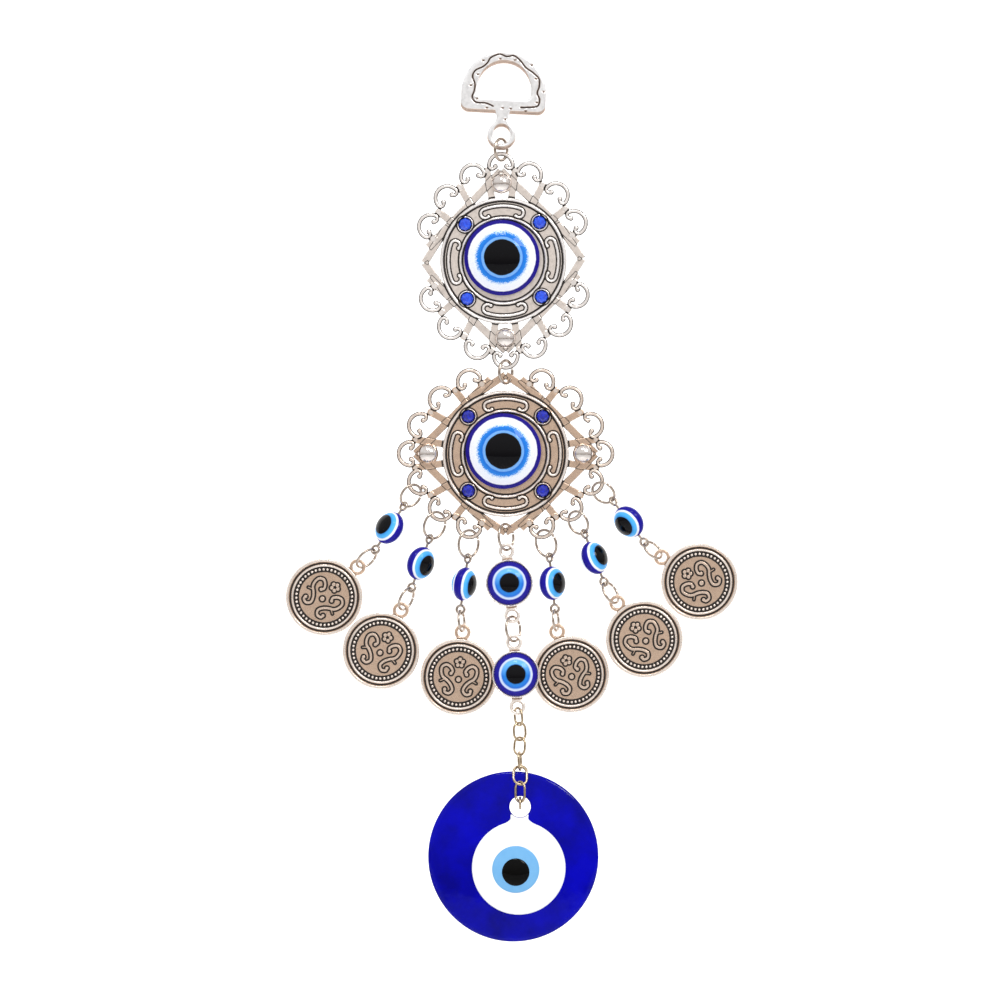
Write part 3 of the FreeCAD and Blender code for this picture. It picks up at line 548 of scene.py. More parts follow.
PLATE, EYE = 18.6, 11.1          # radii of the round plate and of the domed eye
BACK, FLOOR = -0.8, 0.2          # heights of the flat back and of the plate's ground
BORDER_ROW = ((28.0, 0.0), (25.0, 8.3), (18.9, 16.0), (10.6, 21.1))
SCROLLS = [(28.0, 0.0), (-28.0, 0.0)] + [
    (sx * x, sy * y) for sx in (1, -1) for sy in (1, -1) for x, y in BORDER_ROW[1:]]
STUD = 22.8                      # how far each half-round stud is from the middle
STUD_RADIUS = 3.15
STONE_ACROSS = 15.5 * math.sqrt(0.5)
CORNERS = ((1, 1), (-1, 1), (-1, -1), (1, -1))
RIM_RING, EYE_RING = 18.15, 12.6   # radii of the two raised rings of the plate
BORDER_FOOT = 17.6               # the border's strokes start here, under the outer ring
STRAP_WIDTH, STRUT_WIDTH = 2.2, 2.1
TAN = 0.3                        # patina of flat ground, between bright metal (0) and black (1)


def scroll_stroke(cx, cy, radius, bend, width, outward, sweep, turn):
    """A C-scroll: an arc facing outward with both ends hooked in, as one distance function."""
    hooks = [hook_points(cx, cy, radius, outward + side * sweep, bend, side * turn) for side in (-1, 1)]

    def distance(x, y):
        best = arc(x, y, cx, cy, radius, width, outward, sweep)
        for points in hooks:
            best = np.minimum(best, path_stroke(x, y, points, width * 0.92))
            best = np.minimum(best, disc_at(x, y, *points[-1], width * 0.62))
        return best
    return distance


def straight(start, end, width):
    return lambda x, y: bar(x, y, start, end, width)


def dot(cx, cy, radius):
    return near(lambda x, y: disc_at(x, y, cx, cy, radius), cx, cy, 3)


def border_strokes():
    """Strokes of the border: (distance function, top height, shoulder width, kind)."""
    strokes = []
    for cx, cy in SCROLLS:
        out = math.degrees(math.atan2(cy, cx))
        shape = scroll_stroke(cx, cy, 3.5, 0.95, 1.2, out, 88, 165)
        strokes.append((near(shape, cx, cy, 5.2), 0.9, 0.6, "scroll"))
    for sx in (1, -1):
        for sy in (1, -1):
            strokes.append((straight((sx * 26.5, 0), (sx * 4.5, sy * 22.0), STRAP_WIDTH), 0.5, 0.25, "bar"))
            strokes.append((straight((0, sy * 23.2), (sx * 10.5, sy * 16.2), STRAP_WIDTH), 0.55, 0.25, "bar"))
            for (ax, ay), (bx, by) in zip(BORDER_ROW, BORDER_ROW[1:]):
                joint = (sx * (ax + bx) / 2, sy * (ay + by) / 2)
                scale = BORDER_FOOT / math.hypot(*joint)
                foot = (joint[0] * scale, joint[1] * scale)
                strokes.append((straight(joint, foot, STRUT_WIDTH), 0.62, 0.25, "bar"))
                strokes.append((dot(*joint, 1.15), 0.8, 0.6, "pad"))
            strokes.append((dot(sx * 7.0, sy * 20.5, 1.3), 0.75, 0.5, "pad"))
    return strokes


BORDER = border_strokes()


def cup(cx, cy):
    return near(lambda x, y: hoop(x, y, 2.2, 0.5, cx, cy), cx, cy, 4)


def floor_strokes():
    """Raised work inside the outer ring: rings, four C-scrolls and the stone cups."""
    strokes = [
        (lambda x, y: hoop(x, y, RIM_RING, 0.95), 1.0, 0.48, "ring"),
        (lambda x, y: hoop(x, y, EYE_RING, 0.85), 0.95, 0.42, "ring"),
    ]
    for quarter in range(4):
        middle = 90 * quarter
        shape = scroll_stroke(0, 0, 16.2, 1.35, 0.85, middle, 19.5, 205)
        spot = (16.0 * math.cos(math.radians(middle)), 16.0 * math.sin(math.radians(middle)))
        strokes.append((near(shape, *spot, 7.5), 0.72, 0.42, "scroll"))
        sx, sy = CORNERS[quarter]
        strokes.append((cup(sx * STONE_ACROSS, sy * STONE_ACROSS), 1.15, 0.25, "cup"))
    return strokes


INSIDE = floor_strokes()


def medallion_edge(x, y):
    best = disc_at(x, y, 0, 0, PLATE)
    for shape, _, _, _ in BORDER:
        best = np.minimum(best, shape(x, y))
    return best


def medallion_height(x, y):
    radius = np.hypot(x, y)
    high = np.where(radius < PLATE, FLOOR, -0.2)
    for shape, top, shoulder, kind in BORDER:
        d = shape(x, y)
        foot = top - (0.6 if kind == "scroll" else 0.3)
        proud = foot + (top - foot) * rounded(d, shoulder)
        high = np.maximum(high, np.where((d < 0) & (radius > BORDER_FOOT), proud, -1.0))
    for shape, top, shoulder, kind in INSIDE:
        d = shape(x, y)
        high = np.maximum(high, np.where(d < 0, FLOOR + (top - FLOOR) * rounded(d, shoulder), -1.0))
    return high


def medallion_patina_and_shade(x, y, front, distance):
    """Black left along the foot of every stroke: patina in the recesses round the inner strokes, and painted
    shade inside and along the border's curls and along the edges of its bars.
    """
    radius = np.hypot(x, y)
    dark = np.zeros_like(front)
    lit = np.zeros_like(front)
    for shape, top, shoulder, kind in BORDER:
        d = shape(x, y)
        outside = radius > 17.9
        if kind == "scroll":
            # painted shade: black round each scroll and a dark line along its edge, the shade of the raised
            # curl
            dark = np.maximum(dark, np.where(outside & (d > 0), np.clip(1.3 - d / 0.34, 0, 1), 0))
            edge = np.clip(1.3 - np.abs(d + 0.08) / 0.22, 0, 1)
            dark = np.maximum(dark, np.where(outside, edge, 0))
            lit = np.maximum(lit, np.where(outside & (d < -0.27), 1.0, 0))
        elif kind == "pad":
            lit = np.maximum(lit, np.where(outside & (d < -0.5), 1.0, 0))
        elif kind == "bar":
            # painted shade: a dark line along each bar's edge, standing for its shaded side wall
            dark = np.maximum(dark, np.where(outside, np.clip(1 - np.abs(d - 0.06) / 0.2, 0, 1), 0))
    dark = np.where(lit > 0, 0, dark)
    tan = np.where(lit > 0, 0.08, TAN)
    for shape, top, shoulder, kind in INSIDE:
        d = shape(x, y)
        spread = {"ring": 0.62, "scroll": 0.48, "cup": 0.45}[kind]
        dark = np.maximum(dark, np.where(d > -0.04, np.clip(1.25 - d / spread, 0, 1), 0))
        dark = np.where(d < -0.12, 0, dark)
        tan = np.where(d < -0.06, 0.0, tan)
    dark = np.maximum(dark, np.where((radius > 17.2) & (radius < 17.68), 1, 0))
    dark = np.maximum(dark, np.where((radius > 11.9) & (radius < 12.18), 1, 0))
    return np.clip(np.maximum(dark, tan), 0, 1)


medallion_mesh = relief("medallion", (-32.6, -25.7, 32.6, 25.7), 0.13,
                        medallion_edge, medallion_height, BACK, patina_and_shade=medallion_patina_and_shade)


def dome_profile(radius, edge, height, steps=28):
    """Profile of a domed cabochon from its flat back to its apex."""
    rise = height - edge
    sphere = (radius ** 2 + rise ** 2) / (2 * rise)
    profile = [(0.0, 0.0), (radius - 0.15, 0.0), (radius, 0.15)]
    for k in range(steps + 1):
        r = radius * math.cos(math.pi / 2 * k / steps)
        profile.append((max(r, 0.0), edge + math.sqrt(sphere ** 2 - r ** 2) - sphere + rise))
    return profile


def faceted_stone():
    """A small round stone: girdle, eight crown facets and a table."""
    points, faces = [], []
    for ring, (radius, height, shift) in enumerate(((1.85, 0.0, 0.0), (1.85, 0.45, 0.0), (1.45, 0.95, 0.5),
                                                    (0.85, 1.25, 0.0))):
        for k in range(8):
            angle = 2 * math.pi * (k + shift) / 8
            points.append((radius * math.cos(angle), radius * math.sin(angle), height))
    for k in range(8):
        n = (k + 1) % 8
        faces.append([k, n, 8 + n, 8 + k])
        faces.append([8 + k, 8 + n, 16 + k])
        faces.append([8 + n, 16 + n, 16 + k])
        faces.append([16 + k, 16 + n, 24 + n])
        faces.append([16 + k, 24 + n, 24 + k])
    faces.append([24 + k for k in range(8)])
    faces.append(list(range(8))[::-1])
    return points, faces


def medallion(name, long_axis_up):
    place = flat_frame(*medallion_place(name))
    turn = Matrix.Rotation(math.radians(90 if long_axis_up else 0), 4, "Z")
    body = f"{name}_medallion"
    # the upper medallion gets the lighter copies: painted light
    paint, gem = (antique_painted_lit, sapphire_painted_lit) if name == "upper" else (antique, sapphire)
    put(f"{name}_casting", medallion_mesh.copy(), place @ turn, body, "antique_silver", paint,
        f"{name}_medallion")
    eye_low, eye_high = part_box(f"{name}_eye")
    eye_place = place.copy()
    eye_place.translation = Vector(((eye_low.x + eye_high.x) / 2, place.translation.y,
                                    (eye_low.z + eye_high.z) / 2))
    for side in (-1, 1):
        spot = place @ turn @ Matrix.Translation((side * STUD * MM, 0, 0))
        put(f"{name}_stud_{'lower' if side < 0 else 'upper'}", stud_mesh, spot, body, "antique_silver",
            polished)
    lifted = eye_place @ Matrix.Translation((0, 0, FLOOR * MM))
    put(f"{name}_cabochon", large_eye_mesh, lifted, body, "eye_resin", large_eye, f"{name}_eye")
    points, faces = faceted_stone()
    allpoints, allfaces = [], []
    for sx, sy in CORNERS:
        base = len(allpoints)
        allpoints += [(x + sx * STONE_ACROSS, y + sy * STONE_ACROSS, z + FLOOR + 0.2) for x, y, z in points]
        allfaces += [[base + v for v in face] for face in faces]
    stones = mesh_from(f"{name}_gems", allpoints, allfaces, sharp=5)
    put(f"{name}_gems", stones, place, body, "sapphire_stone", gem, f"{name}_stones")


def medallion_place(name):
    """Centre, up direction and normal of a medallion, from its four stones."""
    low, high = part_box(f"{name}_stones")
    centre = (low + high) / 2
    centre.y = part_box(f"{name}_medallion")[1].y + BACK * MM
    if name == "lower":
        return centre, UP, FRONT
    return centre, joint_point("upper_medallion_tilt") - joint_point("middle_ring_swing"), FRONT


stud_profile = [(STUD_RADIUS * math.sin(math.pi * k / 24), -STUD_RADIUS * math.cos(math.pi * k / 24))
                for k in range(25)]
stud_mesh = turned("stud", stud_profile, 48, 60)
large_eye_mesh = turned("large_cabochon", dome_profile(EYE, 1.2, 5.2))
medallion("upper", True)
medallion("lower", False)


# ---------------------------------------------------------------- the hanger

def hanger_edge(x, y):
    """Outline of the D-shaped handle, its neck and its eye; Y is 0 at the hanging point."""
    arch = disc_at(x, y, 0, -8.8, 12.6)
    box = np.maximum(np.abs(x) - 12.6, -14.8 - y)
    corner = np.hypot(np.maximum(np.abs(x) - 10.0, 0), np.maximum(-(y + 12.2), 0)) - 2.6
    lower = np.where((np.abs(x) > 10.0) & (y < -12.2), corner, box)
    outer = np.where(y > -8.8, arch, lower)
    hole_arch = disc_at(x, y, 0, -7.9, 7.9)
    hole_box = np.maximum(np.abs(x) - 7.9, -10.2 - y)
    hole_corner = np.hypot(np.maximum(np.abs(x) - 6.6, 0), np.maximum(-(y + 8.9), 0)) - 1.3
    hole = np.where(y > -7.9, hole_arch, np.where((np.abs(x) > 6.6) & (y < -8.9), hole_corner, hole_box))
    band = np.maximum(outer, -hole)
    neck = np.maximum(np.abs(x) - 2.3 + 0.5 * np.cos((y + 16.0) * 1.1), np.maximum(y + 11.5, -18.9 - y))
    eye = disc_at(x, y, 0, -21.2, 4.3)
    return np.maximum(np.minimum(np.minimum(band, neck), eye), -disc_at(x, y, 0, -21.2, 2.5))


def tilted(points, degrees=3.0):
    """Points given as the handle hangs, turned into its own upright frame."""
    c, t = math.cos(math.radians(degrees)), math.sin(math.radians(degrees))
    return [(x * c - y * t, x * t + y * c) for x, y in points]


GROOVE = smooth_line(tilted([
    (-3.6, -12.6), (-5.6, -11.7), (-8.6, -11.4), (-9.7, -9.9), (-9.1, -8.0), (-8.9, -6.0), (-9.6, -3.8),
    (-8.7, -2.0), (-6.6, -1.0), (-5.2, 0.2), (-4.2, 1.7), (-1.6, 2.7), (0.4, 2.0), (2.6, 2.2), (4.4, 0.8),
    (6.0, -1.2), (8.2, -2.8), (9.9, -4.6), (10.0, -6.8), (9.4, -8.8), (10.1, -10.7), (9.6, -12.5),
    (8.0, -12.9), (4.6, -13.0)]))
DIMPLES = tilted([
    (-6.4, 1.0), (7.8, -0.4), (-10.1, -6.3), (11.3, -8.2), (-1.5, 1.5), (2.9, 1.1), (-8.0, -3.1), (9.0, -4.4),
    (-8.3, -10.2), (9.3, -11.4), (-5.4, -12.9), (-0.8, -13.0), (1.6, -13.2), (6.0, -13.9), (0.0, -16.3)])


def lower_side(x, y, reach=1.2):
    """1 at an edge that faces down, falling to 0 within reach above it."""
    return np.clip(hanger_edge(x, y - reach) / reach, 0, 1)


def hanger_height(x, y):
    d = hanger_edge(x, y)
    high = 0.25 + 0.75 * rounded(d, 1.1)
    high -= 0.75 * lower_side(x, y)
    groove = path_stroke(x, y, GROOVE, 0.0)
    high -= 0.4 * np.clip(1 - groove / 0.34, 0, 1) ** 0.7
    for cx, cy in DIMPLES:
        high -= 0.35 * np.clip(1 - np.hypot(x - cx, y - cy) / 0.55, 0, 1) ** 0.6
    return high


def hanger_patina_and_shade(x, y, front, distance):
    groove = path_stroke(x, y, GROOVE, 0.0)
    dark = np.clip(1.15 - groove / 0.26, 0, 1)
    # painted shade: the edges that face down are darkened
    dark = np.maximum(dark, 0.36 * np.clip(lower_side(x, y) * 2.5, 0, 1))
    # painted shade: each dimple is darkened on its lower half only
    for cx, cy in DIMPLES:
        dark = np.maximum(dark, np.clip(1.5 - np.hypot(x - cx, y - cy) / 0.36, 0, 1)
                          * np.clip(0.5 - (y - cy) / 0.4, 0, 1))
    return np.clip(dark, 0, 1)


hanger_mesh = relief("hanger_casting", (-13.2, -26.2, 13.2, 4.4), 0.14, hanger_edge, hanger_height, -1.0,
                     patina_and_shade=hanger_patina_and_shade)
ring_hinge = joint_point("top_ring_swing")
hanger_up = -Vector((ring_hinge.x, 0, ring_hinge.z)).normalized()
put("hanger_handle", hanger_mesh, flat_frame(Vector((0, 0, 0)), hanger_up, FRONT), "hanger", "bright_silver",
    bright, "hanger")


# ---------------------------------------------------------------- rings, pins and links

SLIT, SLIT_PLACE = 5.0, 20.0      # degrees: the opening of a bent ring and where it lies
WIRE_SIDES = 16


def wire_ring(name, thickness, body):
    centre, _, _, thin = node_axes(name)
    spread = max((v.co - centre).length for v in nodes[name].data.vertices)
    radius = spread / MM - thickness / 2
    up = joint_up(name, centre)
    place = flat_frame(centre, up, thin)
    mesh = tube(f"{name}_wire", slit_ring(radius, SLIT, SLIT_PLACE), thickness / 2, WIRE_SIDES)
    put(f"{name}_open", mesh, place, body, "wire", wire, name)


def joint_up(body, centre):
    """Direction from a hanging piece's centre to the joint that carries it."""
    for joint in frame["joints"]:
        if joint["child"] == body:
            return Vector(joint["pos_m"]) - centre
    return UP


for ring_name, thickness in (("top_ring", 0.9), ("middle_ring", 0.9), ("column_ring", 0.8),
                             ("connector_ring", 0.8)):
    wire_ring(ring_name, thickness, ring_name)
for drop in DROPS:
    wire_ring(f"{drop}_ring", 0.8, f"{drop}_ring")
    wire_ring(f"{drop}_coin_ring", 0.8, f"{drop}_coin_ring")
for node_name, node in nodes.items():
    if node_name.endswith("_pin") or "link" in node_name:
        flat = node.data.attributes.new("flat", "FLOAT_VECTOR", "POINT")
        places = np.array([v.co for v in node.data.vertices], np.float32) / MM
        flat.data.foreach_set("vector", places.ravel())
        node.data.polygons.foreach_set("use_smooth", [True] * len(node.data.polygons))
        node.data.set_sharp_from_angle(angle=math.radians(50))
        node.data.materials.clear()
        node.data.materials.append(chain_wire if "link" in node_name else wire)


# ---------------------------------------------------------------- beads

def bead_profile(radius=5.0, rim=4.6, half=1.1, top=3.6, steps=20):
    rise = top - half
    sphere = (rim ** 2 + rise ** 2) / (2 * rise)
    upper = []
    for k in range(steps + 1):
        r = rim * math.sin(math.pi / 2 * k / steps)
        upper.append((r, half + math.sqrt(sphere ** 2 - r ** 2) - sphere + rise))
    edge = [(radius - (radius - rim) * (t / half) ** 2 * 0.9, t) for t in (0.8, 0.4, 0.0, -0.4, -0.8)]
    return [(r, z) for r, z in upper] + edge + [(r, -z) for r, z in reversed(upper)]


bead_mesh = turned("bead", [(r, -z) for r, z in bead_profile()], 72)
for drop in DROPS:
    centre, _, _, thin = node_axes(f"{drop}_bead")
    along = joint_axis(f"{drop}_bead_spin")
    put(f"{drop}_eye_bead", bead_mesh, flat_frame(centre, along, thin), f"{drop}_bead", "bead_glass",
        bead_paint, f"{drop}_bead")


# ---------------------------------------------------------------- coins

COIN, TAB_UP, TAB, TAB_HOLE = 11.3, 13.2, 2.4, 1.4
COIN_RIM, COIN_RING, COIN_GROOVE = 10.8, 9.35, 9.98      # radii of the raised rim, the ring, and between
COIN_FIELD = 0.42                                        # height of the flat ground


def coin_edge(x, y):
    tab = np.minimum(disc_at(x, y, 0, TAB_UP, TAB), bar(x, y, (0, 10.3), (0, 11.7), 3.2))
    return np.maximum(np.minimum(disc_at(x, y, 0, 0, COIN), tab), -disc_at(x, y, 0, TAB_UP, TAB_HOLE))


S_SCROLL = ((2.3, 0.9), (1.9, 1.7), (2.6, 2.8), (3.9, 3.4), (5.1, 2.6), (5.2, 1.1), (4.6, -0.3), (3.2, -1.3),
            (2.1, -2.5), (1.6, -3.9), (2.5, -5.0), (3.7, -4.7), (3.8, -3.9))
SCROLL_RUNS = [smooth_line([(side * x, y) for x, y in S_SCROLL], 5) for side in (1, -1)]
THORNS = [((side * 3.9, -0.8), (side * 5.3, -1.5)) for side in (1, -1)]
PETALS = [(0.95 * math.cos(math.radians(90 + 72 * k)), 4.3 + 0.95 * math.sin(math.radians(90 + 72 * k)))
          for k in range(5)]


def coin_relief(x, y):
    """Distance to the token's raised drawing."""
    best = disc_at(x, y, 0.0, -0.7, 0.8)
    for run in SCROLL_RUNS:
        best = np.minimum(best, path_stroke(x, y, run, 0.95))
        for tip in (run[0], run[-1]):
            best = np.minimum(best, disc_at(x, y, *tip, 0.6))
    for start, end in THORNS:
        best = np.minimum(best, stroke(x, y, start, end, 0.5))
    for cx, cy in PETALS:
        best = np.minimum(best, disc_at(x, y, cx, cy, 0.66))
    return best


DOTS, DOT_ROW, DOT = 44, 8.2, 0.4      # how many dots, their row's radius and their own


def coin_dots(x, y):
    apart = 2 * np.pi / DOTS
    slot = np.round(np.arctan2(y, x) / apart) * apart
    return np.hypot(x - DOT_ROW * np.cos(slot), y - DOT_ROW * np.sin(slot)) - DOT


def coin_height(x, y):
    radius = np.hypot(x, y)
    d = coin_edge(x, y)
    high = np.where(radius < COIN, COIN_FIELD, 0.32)
    outer = np.abs(radius - COIN_RIM) - 0.5
    high = np.maximum(high, np.where(outer < 0, 0.45 + 0.35 * rounded(outer, 0.4), -1))
    inner = np.abs(radius - COIN_RING) - 0.34
    high = np.maximum(high, np.where(inner < 0, COIN_FIELD + 0.33 * rounded(inner, 0.32), -1))
    dots = coin_dots(x, y)
    high = np.maximum(high, np.where(dots < 0, COIN_FIELD + 0.28 * rounded(dots, 0.34), -1))
    drawing = coin_relief(x, y)
    inside = (drawing < 0) & (radius < 7.0)
    high = np.maximum(high, np.where(inside, COIN_FIELD + 0.26 * rounded(drawing, 0.35), -1))
    tab = hoop(x, y, 1.9, 0.9, 0, TAB_UP)
    high = np.maximum(high, np.where((tab < 0) & (radius > COIN - 0.3), 0.25 + 0.25 * rounded(tab, 0.4), -1))
    return high - 0.3 * (1 - rounded(d, 0.3))


def coin_patina(x, y, front, distance):
    radius = np.hypot(x, y)
    dots = coin_dots(x, y)
    black = (np.abs(radius - DOT_ROW) < 0.82) & (dots > -0.05)
    groove = np.clip(1.4 - np.abs(radius - COIN_GROOVE) / 0.30, 0, 1)
    drawing = coin_relief(x, y)
    line = np.where(radius < 7.3, np.clip(1.5 - np.abs(drawing - 0.1) / 0.26, 0, 1), 0)
    hole = np.where(y > COIN, np.clip(1 - np.abs(np.hypot(x, y - TAB_UP) - TAB_HOLE) / 0.25, 0, 1), 0)
    joint = np.where(y > 9, np.clip(1 - np.abs(radius - 11.4) / 0.2, 0, 1), 0)
    proud = (dots < 0) | (np.abs(radius - COIN_RING) < 0.3) | (np.abs(radius - 10.85) < 0.35)
    ground = np.where(proud, 0.04, TAN)
    ground = np.where((radius < 7.3) & (drawing < -0.1), 0.16, ground)
    return np.maximum.reduce([black.astype(float), 0.95 * groove, line, 0.6 * hole, 0.8 * joint, ground])


coin_mesh = relief("token", (-11.8, -11.8, 11.8, 15.9), 0.10, coin_edge, coin_height,
                   -0.4, patina_and_shade=coin_patina, back_height=lambda x, y: -coin_height(x, y))
for drop in DROPS:
    centre, _, _, thin = node_axes(f"{drop}_coin")
    foot = joint_point(f"{drop}_coin_sway")
    normal = joint_axis(f"{drop}_coin_sway")
    up = foot - centre
    up = (up - normal * up.dot(normal)).normalized()
    middle = foot - up * (TAB_UP + 0.3) * MM
    put(f"{drop}_token", coin_mesh, flat_frame(middle, up, normal), f"{drop}_coin", "antique_silver", antique,
        f"{drop}_coin")


# ---------------------------------------------------------------- connectors

REACH = 9.5


def connector_edge(x, y):
    best = disc_at(x, y, 0, 0, 7.0)
    for side in (-1, 1):
        best = np.minimum(best, disc_at(x, y, 0, side * REACH, 2.4))
        best = np.minimum(best, bar(x, y, (0, side * 6.0), (0, side * 8.0), 3.2))
    for side in (-1, 1):
        best = np.maximum(best, -disc_at(x, y, 0, side * REACH, 1.4))
    return best


def connector_height(x, y):
    radius = np.hypot(x, y)
    high = np.where(radius < 6.5, 0.5, 0.3)
    wall = np.abs(radius - 6.72) - 0.28
    high = np.maximum(high, np.where(wall < 0, 0.7 + 0.7 * rounded(wall, 0.25), -1))
    for side in (-1, 1):
        tab = hoop(x, y, 1.9, 0.95, 0, side * REACH)
        high = np.maximum(high, np.where((tab < 0) & (radius > 6.9), 0.15 + 0.35 * rounded(tab, 0.45), -1))
    return high - 0.25 * (1 - rounded(connector_edge(x, y), 0.3)) * (radius > 7.0)


def connector_patina(x, y, front, distance):
    radius = np.hypot(x, y)
    line = np.where(np.abs(y) > 5, np.clip(1 - np.abs(radius - 7.12) / 0.2, 0, 1), 0)
    tabs = np.minimum(np.abs(np.hypot(x, y - REACH) - 1.4), np.abs(np.hypot(x, y + REACH) - 1.4))
    return np.maximum(0.75 * line, 0.7 * np.clip(1 - tabs / 0.25, 0, 1))


connector_mesh = relief("connector", (-7.4, -12.4, 7.4, 12.4), 0.12, connector_edge, connector_height, -0.5,
                        patina_and_shade=connector_patina)
link_eye_mesh = turned("small_cabochon", dome_profile(6.35, 0.5, 3.2))
for name, top_joint, low_joint in (("upper_connector", "upper_connector_twist", "connector_ring_swing"),
                                   ("lower_connector", "lower_connector_sway", "chain_link_1_swing")):
    _, _, _, thin = node_axes(name)
    top, low = joint_point(top_joint), joint_point(low_joint)
    place = flat_frame((top + low) / 2, top - low, thin)
    put(f"{name}_bezel", connector_mesh, place, name, "antique_silver", antique, name)
    seat = place @ Matrix.Translation((0, 0, 0.5 * MM))
    put(f"{name}_cabochon", link_eye_mesh, seat, name, "eye_resin", link_eye, f"{name}_eye")


# ---------------------------------------------------------------- the glass disc

def eccentric_disc(name, radius, hole, hole_centre, face, edge_round, hole_round, around=160, across=56):
    """A lens-shaped disc with a hole off its centre; the centre is at the flat frame's origin."""
    hx, hy = hole_centre
    points, faces = [], []
    for side in (1, -1):
        for ring in range(across + 1):
            share = 0.5 - 0.5 * math.cos(math.pi * ring / across)
            for step in range(around):
                angle = 2 * math.pi * step / around
                ix, iy = hx + hole * math.cos(angle), hy + hole * math.sin(angle)
                ox, oy = radius * math.cos(angle), radius * math.sin(angle)
                x, y = ix + (ox - ix) * share, iy + (oy - iy) * share
                outer = radius - math.hypot(x, y)
                inner = math.hypot(x - hx, y - hy) - hole
                z = face(math.hypot(x, y))
                if outer < edge_round:
                    t = 1 - max(outer, 0) / edge_round
                    z *= math.sqrt(max(1 - t * t, 0))
                if inner < hole_round:
                    t = 1 - max(inner, 0) / hole_round
                    z -= 0.55 * hole_round * (1 - math.sqrt(max(1 - t * t, 0)))
                points.append((x, y, side * z))
    band = (across + 1) * around
    for side in (0, 1):
        for ring in range(across):
            for step in range(around):
                n = (step + 1) % around
                a = side * band + ring * around
                b = a + around
                face_corners = [a + step, b + step, b + n, a + n]
                faces.append(face_corners if side == 0 else face_corners[::-1])
    for step in range(around):
        n = (step + 1) % around
        faces.append([step, n, band + n, band + step])
        last = across * around
        faces.append([last + n, last + step, band + last + step, band + last + n])
    return mesh_from(name, points, faces, sharp=70)


glass_low, glass_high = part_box("disc_glass")
disc_centre = (glass_low + glass_high) / 2
HOLE_X, HOLE_Y = 2.0, 14.65
SPHERE = (24.2 ** 2 + 1.1 ** 2) / 2.2    # radius of the glass's faces: they rise 1.1 mm over 24.2 mm
MIDDLE_HALF = 1.9                        # half of the glass's thickness at its middle


def glass_face(r):
    return math.sqrt(SPHERE ** 2 - r ** 2) - SPHERE + MIDDLE_HALF


disc_mesh = eccentric_disc("glass", 25.0, 3.1, (HOLE_X, HOLE_Y), glass_face, 1.3, 0.8)
disc_place = flat_frame(disc_centre, UP, FRONT)
put("glass_disc", disc_mesh, disc_place, "disc", "cobalt_glass", cobalt, "disc_glass")

white_x, white_y = HOLE_X - 0.4, HOLE_Y - 17.9
WHITE_R = 13.8


def white_edge(x, y):
    """The white glass: a round with a neck that flares up to the hole."""
    round_part = disc_at(x, y, white_x, white_y, WHITE_R)
    neck_x = np.abs(x - (HOLE_X - 0.2))
    flare = np.maximum(neck_x - 2.7 - np.clip(HOLE_Y - 3.6 - y, 0, 8) * 0.9,
                       np.maximum(y - (HOLE_Y - 2.2), -y))
    k = 0.8
    mix = np.clip(0.5 + 0.5 * (flare - round_part) / k, 0, 1)
    both = flare * (1 - mix) + round_part * mix - k * mix * (1 - mix)
    return np.maximum(both, 3.2 - np.hypot(x - HOLE_X, y - HOLE_Y))


def white_height(x, y):
    r = np.hypot(x, y)
    ground = np.sqrt(SPHERE ** 2 - r ** 2) - SPHERE + MIDDLE_HALF
    return ground - 0.15 + 0.75 * rounded(white_edge(x, y), 1.6)


white_mesh = relief("white_glass", (white_x - 14.6, white_y - 14.6, white_x + 14.6, HOLE_Y), 0.2, white_edge,
                    white_height, 1.0, sharp=80)
put("white_eye", white_mesh, disc_place, "disc", "white_glass", white_glass, "disc_white")


def drop_profile(radius, low, rise, steps=18):
    profile = [(0.0, low)]
    for k in range(steps + 1):
        t = k / steps
        profile.append((radius * math.cos(math.pi / 2 * t), low + rise * math.sin(math.pi / 2 * t) ** 0.9))
    return profile


for node_name, radius, rise, slot_name, paint in (("disc_iris", 7.0, 0.55, "light_blue_glass", blue_glass),
                                                  ("disc_pupil", 4.1, 0.75, "black_glass", black_glass)):
    low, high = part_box(node_name)
    spot = (low + high) / 2
    spot.y = high.y
    mesh = turned(node_name + "_drop", drop_profile(radius, -0.35, rise + 0.33), 96, 80)
    put(node_name + "_round", mesh, flat_frame(spot, UP, FRONT), "disc", slot_name, paint, node_name)


# ---------------------------------------------------------------- stage, light and camera

def stage_plane(name, corners, material):
    mesh = bpy.data.meshes.new(name)
    mesh.from_pydata(corners, [], [(0, 1, 2, 3)])
    plane = bpy.data.objects.new(name, mesh)
    mesh.materials.append(material)
    bpy.context.scene.collection.objects.link(plane)


backdrop, tree, shader = new_material("pale_backdrop")
shader.inputs["Base Color"].default_value = (0.93, 0.925, 0.925, 1)
shader.inputs["Emission Color"].default_value = (1, 1, 1, 1)
shader.inputs["Emission Strength"].default_value = 0.42
shader.inputs["Roughness"].default_value = 0.9
shader.inputs["Specular IOR Level"].default_value = 0.1
clear = add_node(tree, "ShaderNodeBsdfTransparent")
choose = add_node(tree, "ShaderNodeMixShader")
facing_away = add_node(tree, "ShaderNodeNewGeometry").outputs["Backfacing"]
tree.links.new(facing_away, choose.inputs[0])
tree.links.new(shader.outputs[0], choose.inputs[1])
tree.links.new(clear.outputs[0], choose.inputs[2])
tree.links.new(choose.outputs[0], tree.nodes["Material Output"].inputs["Surface"])

floor_paint, _, floor_shader = new_material("pale_floor")
floor_shader.inputs["Base Color"].default_value = (0.9, 0.9, 0.9, 1)
floor_shader.inputs["Roughness"].default_value = 0.9

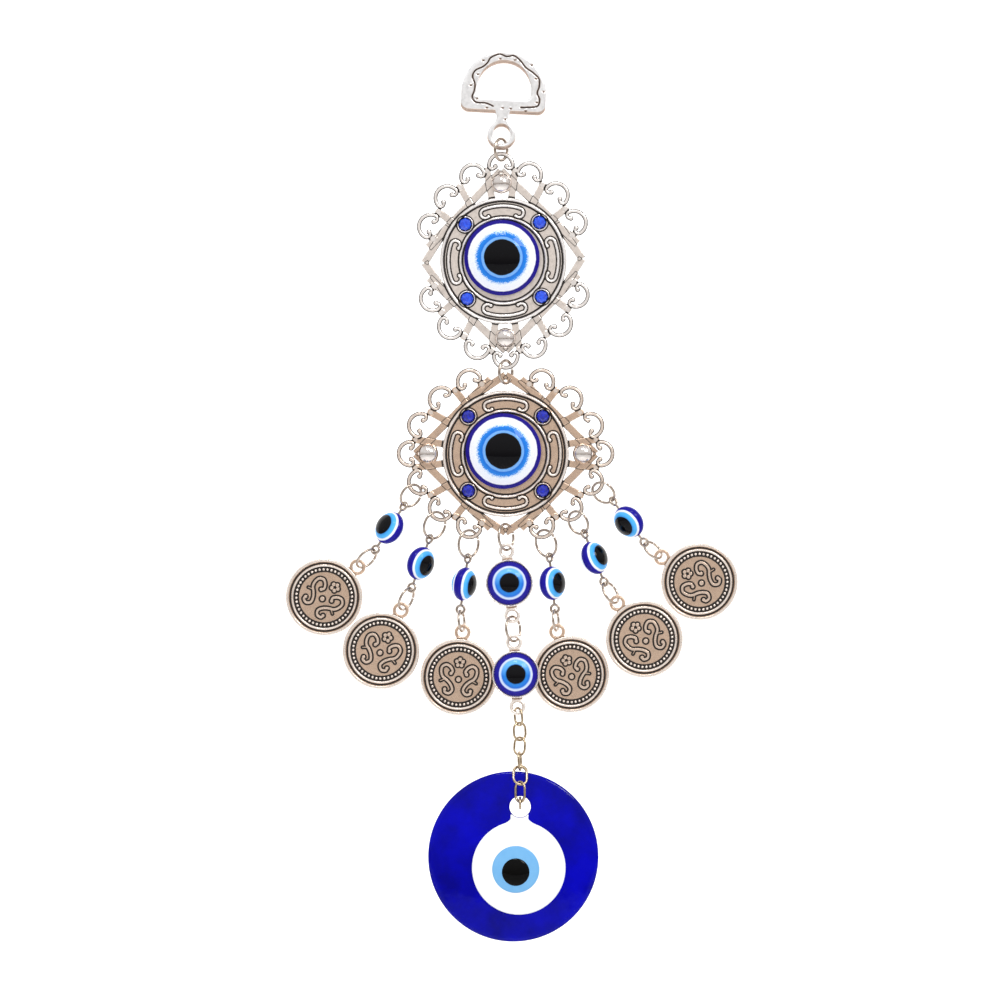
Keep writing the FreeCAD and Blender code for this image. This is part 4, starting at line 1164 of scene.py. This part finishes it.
wall_y = 0.32          # behind everything that swings back at the joints' limits
stage_plane("wall", [(-1.2, wall_y, -0.9), (1.2, wall_y, -0.9), (1.2, wall_y, 0.9), (-1.2, wall_y, 0.9)],
            backdrop)
stage_plane("floor", [(-4, -4, -0.9), (4, -4, -0.9), (4, 4, -0.9), (-4, 4, -0.9)], floor_paint)

world = bpy.data.worlds.new("studio")
bpy.context.scene.world = world
world.use_nodes = True
background = world.node_tree.nodes["Background"]
where = add_node(world.node_tree, "ShaderNodeTexCoord").outputs["Generated"]
parts = add_node(world.node_tree, "ShaderNodeSeparateXYZ")
world.node_tree.links.new(where, parts.inputs[0])
height = maths(world.node_tree, "ADD", maths(world.node_tree, "MULTIPLY", parts.outputs["Z"], 0.5), 0.5)
sky = ramp(world.node_tree, height,
           [(0.0, (0.05, 0.045, 0.04)), (0.34, (0.13, 0.11, 0.10)), (0.46, (0.48, 0.44, 0.41)),
            (0.54, (0.80, 0.77, 0.75)), (0.70, (1.0, 1.0, 1.0)), (1.0, (1.0, 1.0, 1.0))])
world.node_tree.links.new(sky, background.inputs["Color"])
background.inputs["Strength"].default_value = 0.8


def softbox(name, place, target, width, height, power, tint=(1, 1, 1), shines=True):
    data = bpy.data.lights.new(name, "AREA")
    data.shape = "RECTANGLE"
    data.size, data.size_y = width, height
    data.energy = power
    data.color = tint
    lamp = bpy.data.objects.new(name, data)
    lamp.location = place
    lamp.rotation_mode = "QUATERNION"
    lamp.rotation_quaternion = (Vector(target) - Vector(place)).to_track_quat("-Z", "Y")
    lamp.visible_glossy = shines
    bpy.context.scene.collection.objects.link(lamp)


middle = Vector((0, 0, -0.1287))
softbox("key", (0.62, -0.75, 0.55), middle, 0.40, 0.35, 5.0, (1.0, 0.985, 0.97))
softbox("top", (-0.04, -0.62, 0.72), middle, 0.30, 0.12, 2.2, (1.0, 0.99, 0.98))
softbox("fill", (-0.5, -1.2, -0.1), middle, 0.5, 0.8, 5.0, shines=False)

camera_data = bpy.data.cameras.new("camera")
camera_data.lens = 195.3
camera_data.sensor_width = 36.0
camera_data.clip_end = 100
camera = bpy.data.objects.new("camera", camera_data)
camera.location = (-0.0011, -1.6, -0.1288)
camera.rotation_mode = "QUATERNION"
camera.rotation_quaternion = Vector((0, 1, 0)).to_track_quat("-Z", "Y")
bpy.context.scene.collection.objects.link(camera)
bpy.context.scene.camera = camera
bpy.context.scene.view_settings.view_transform = "Standard"
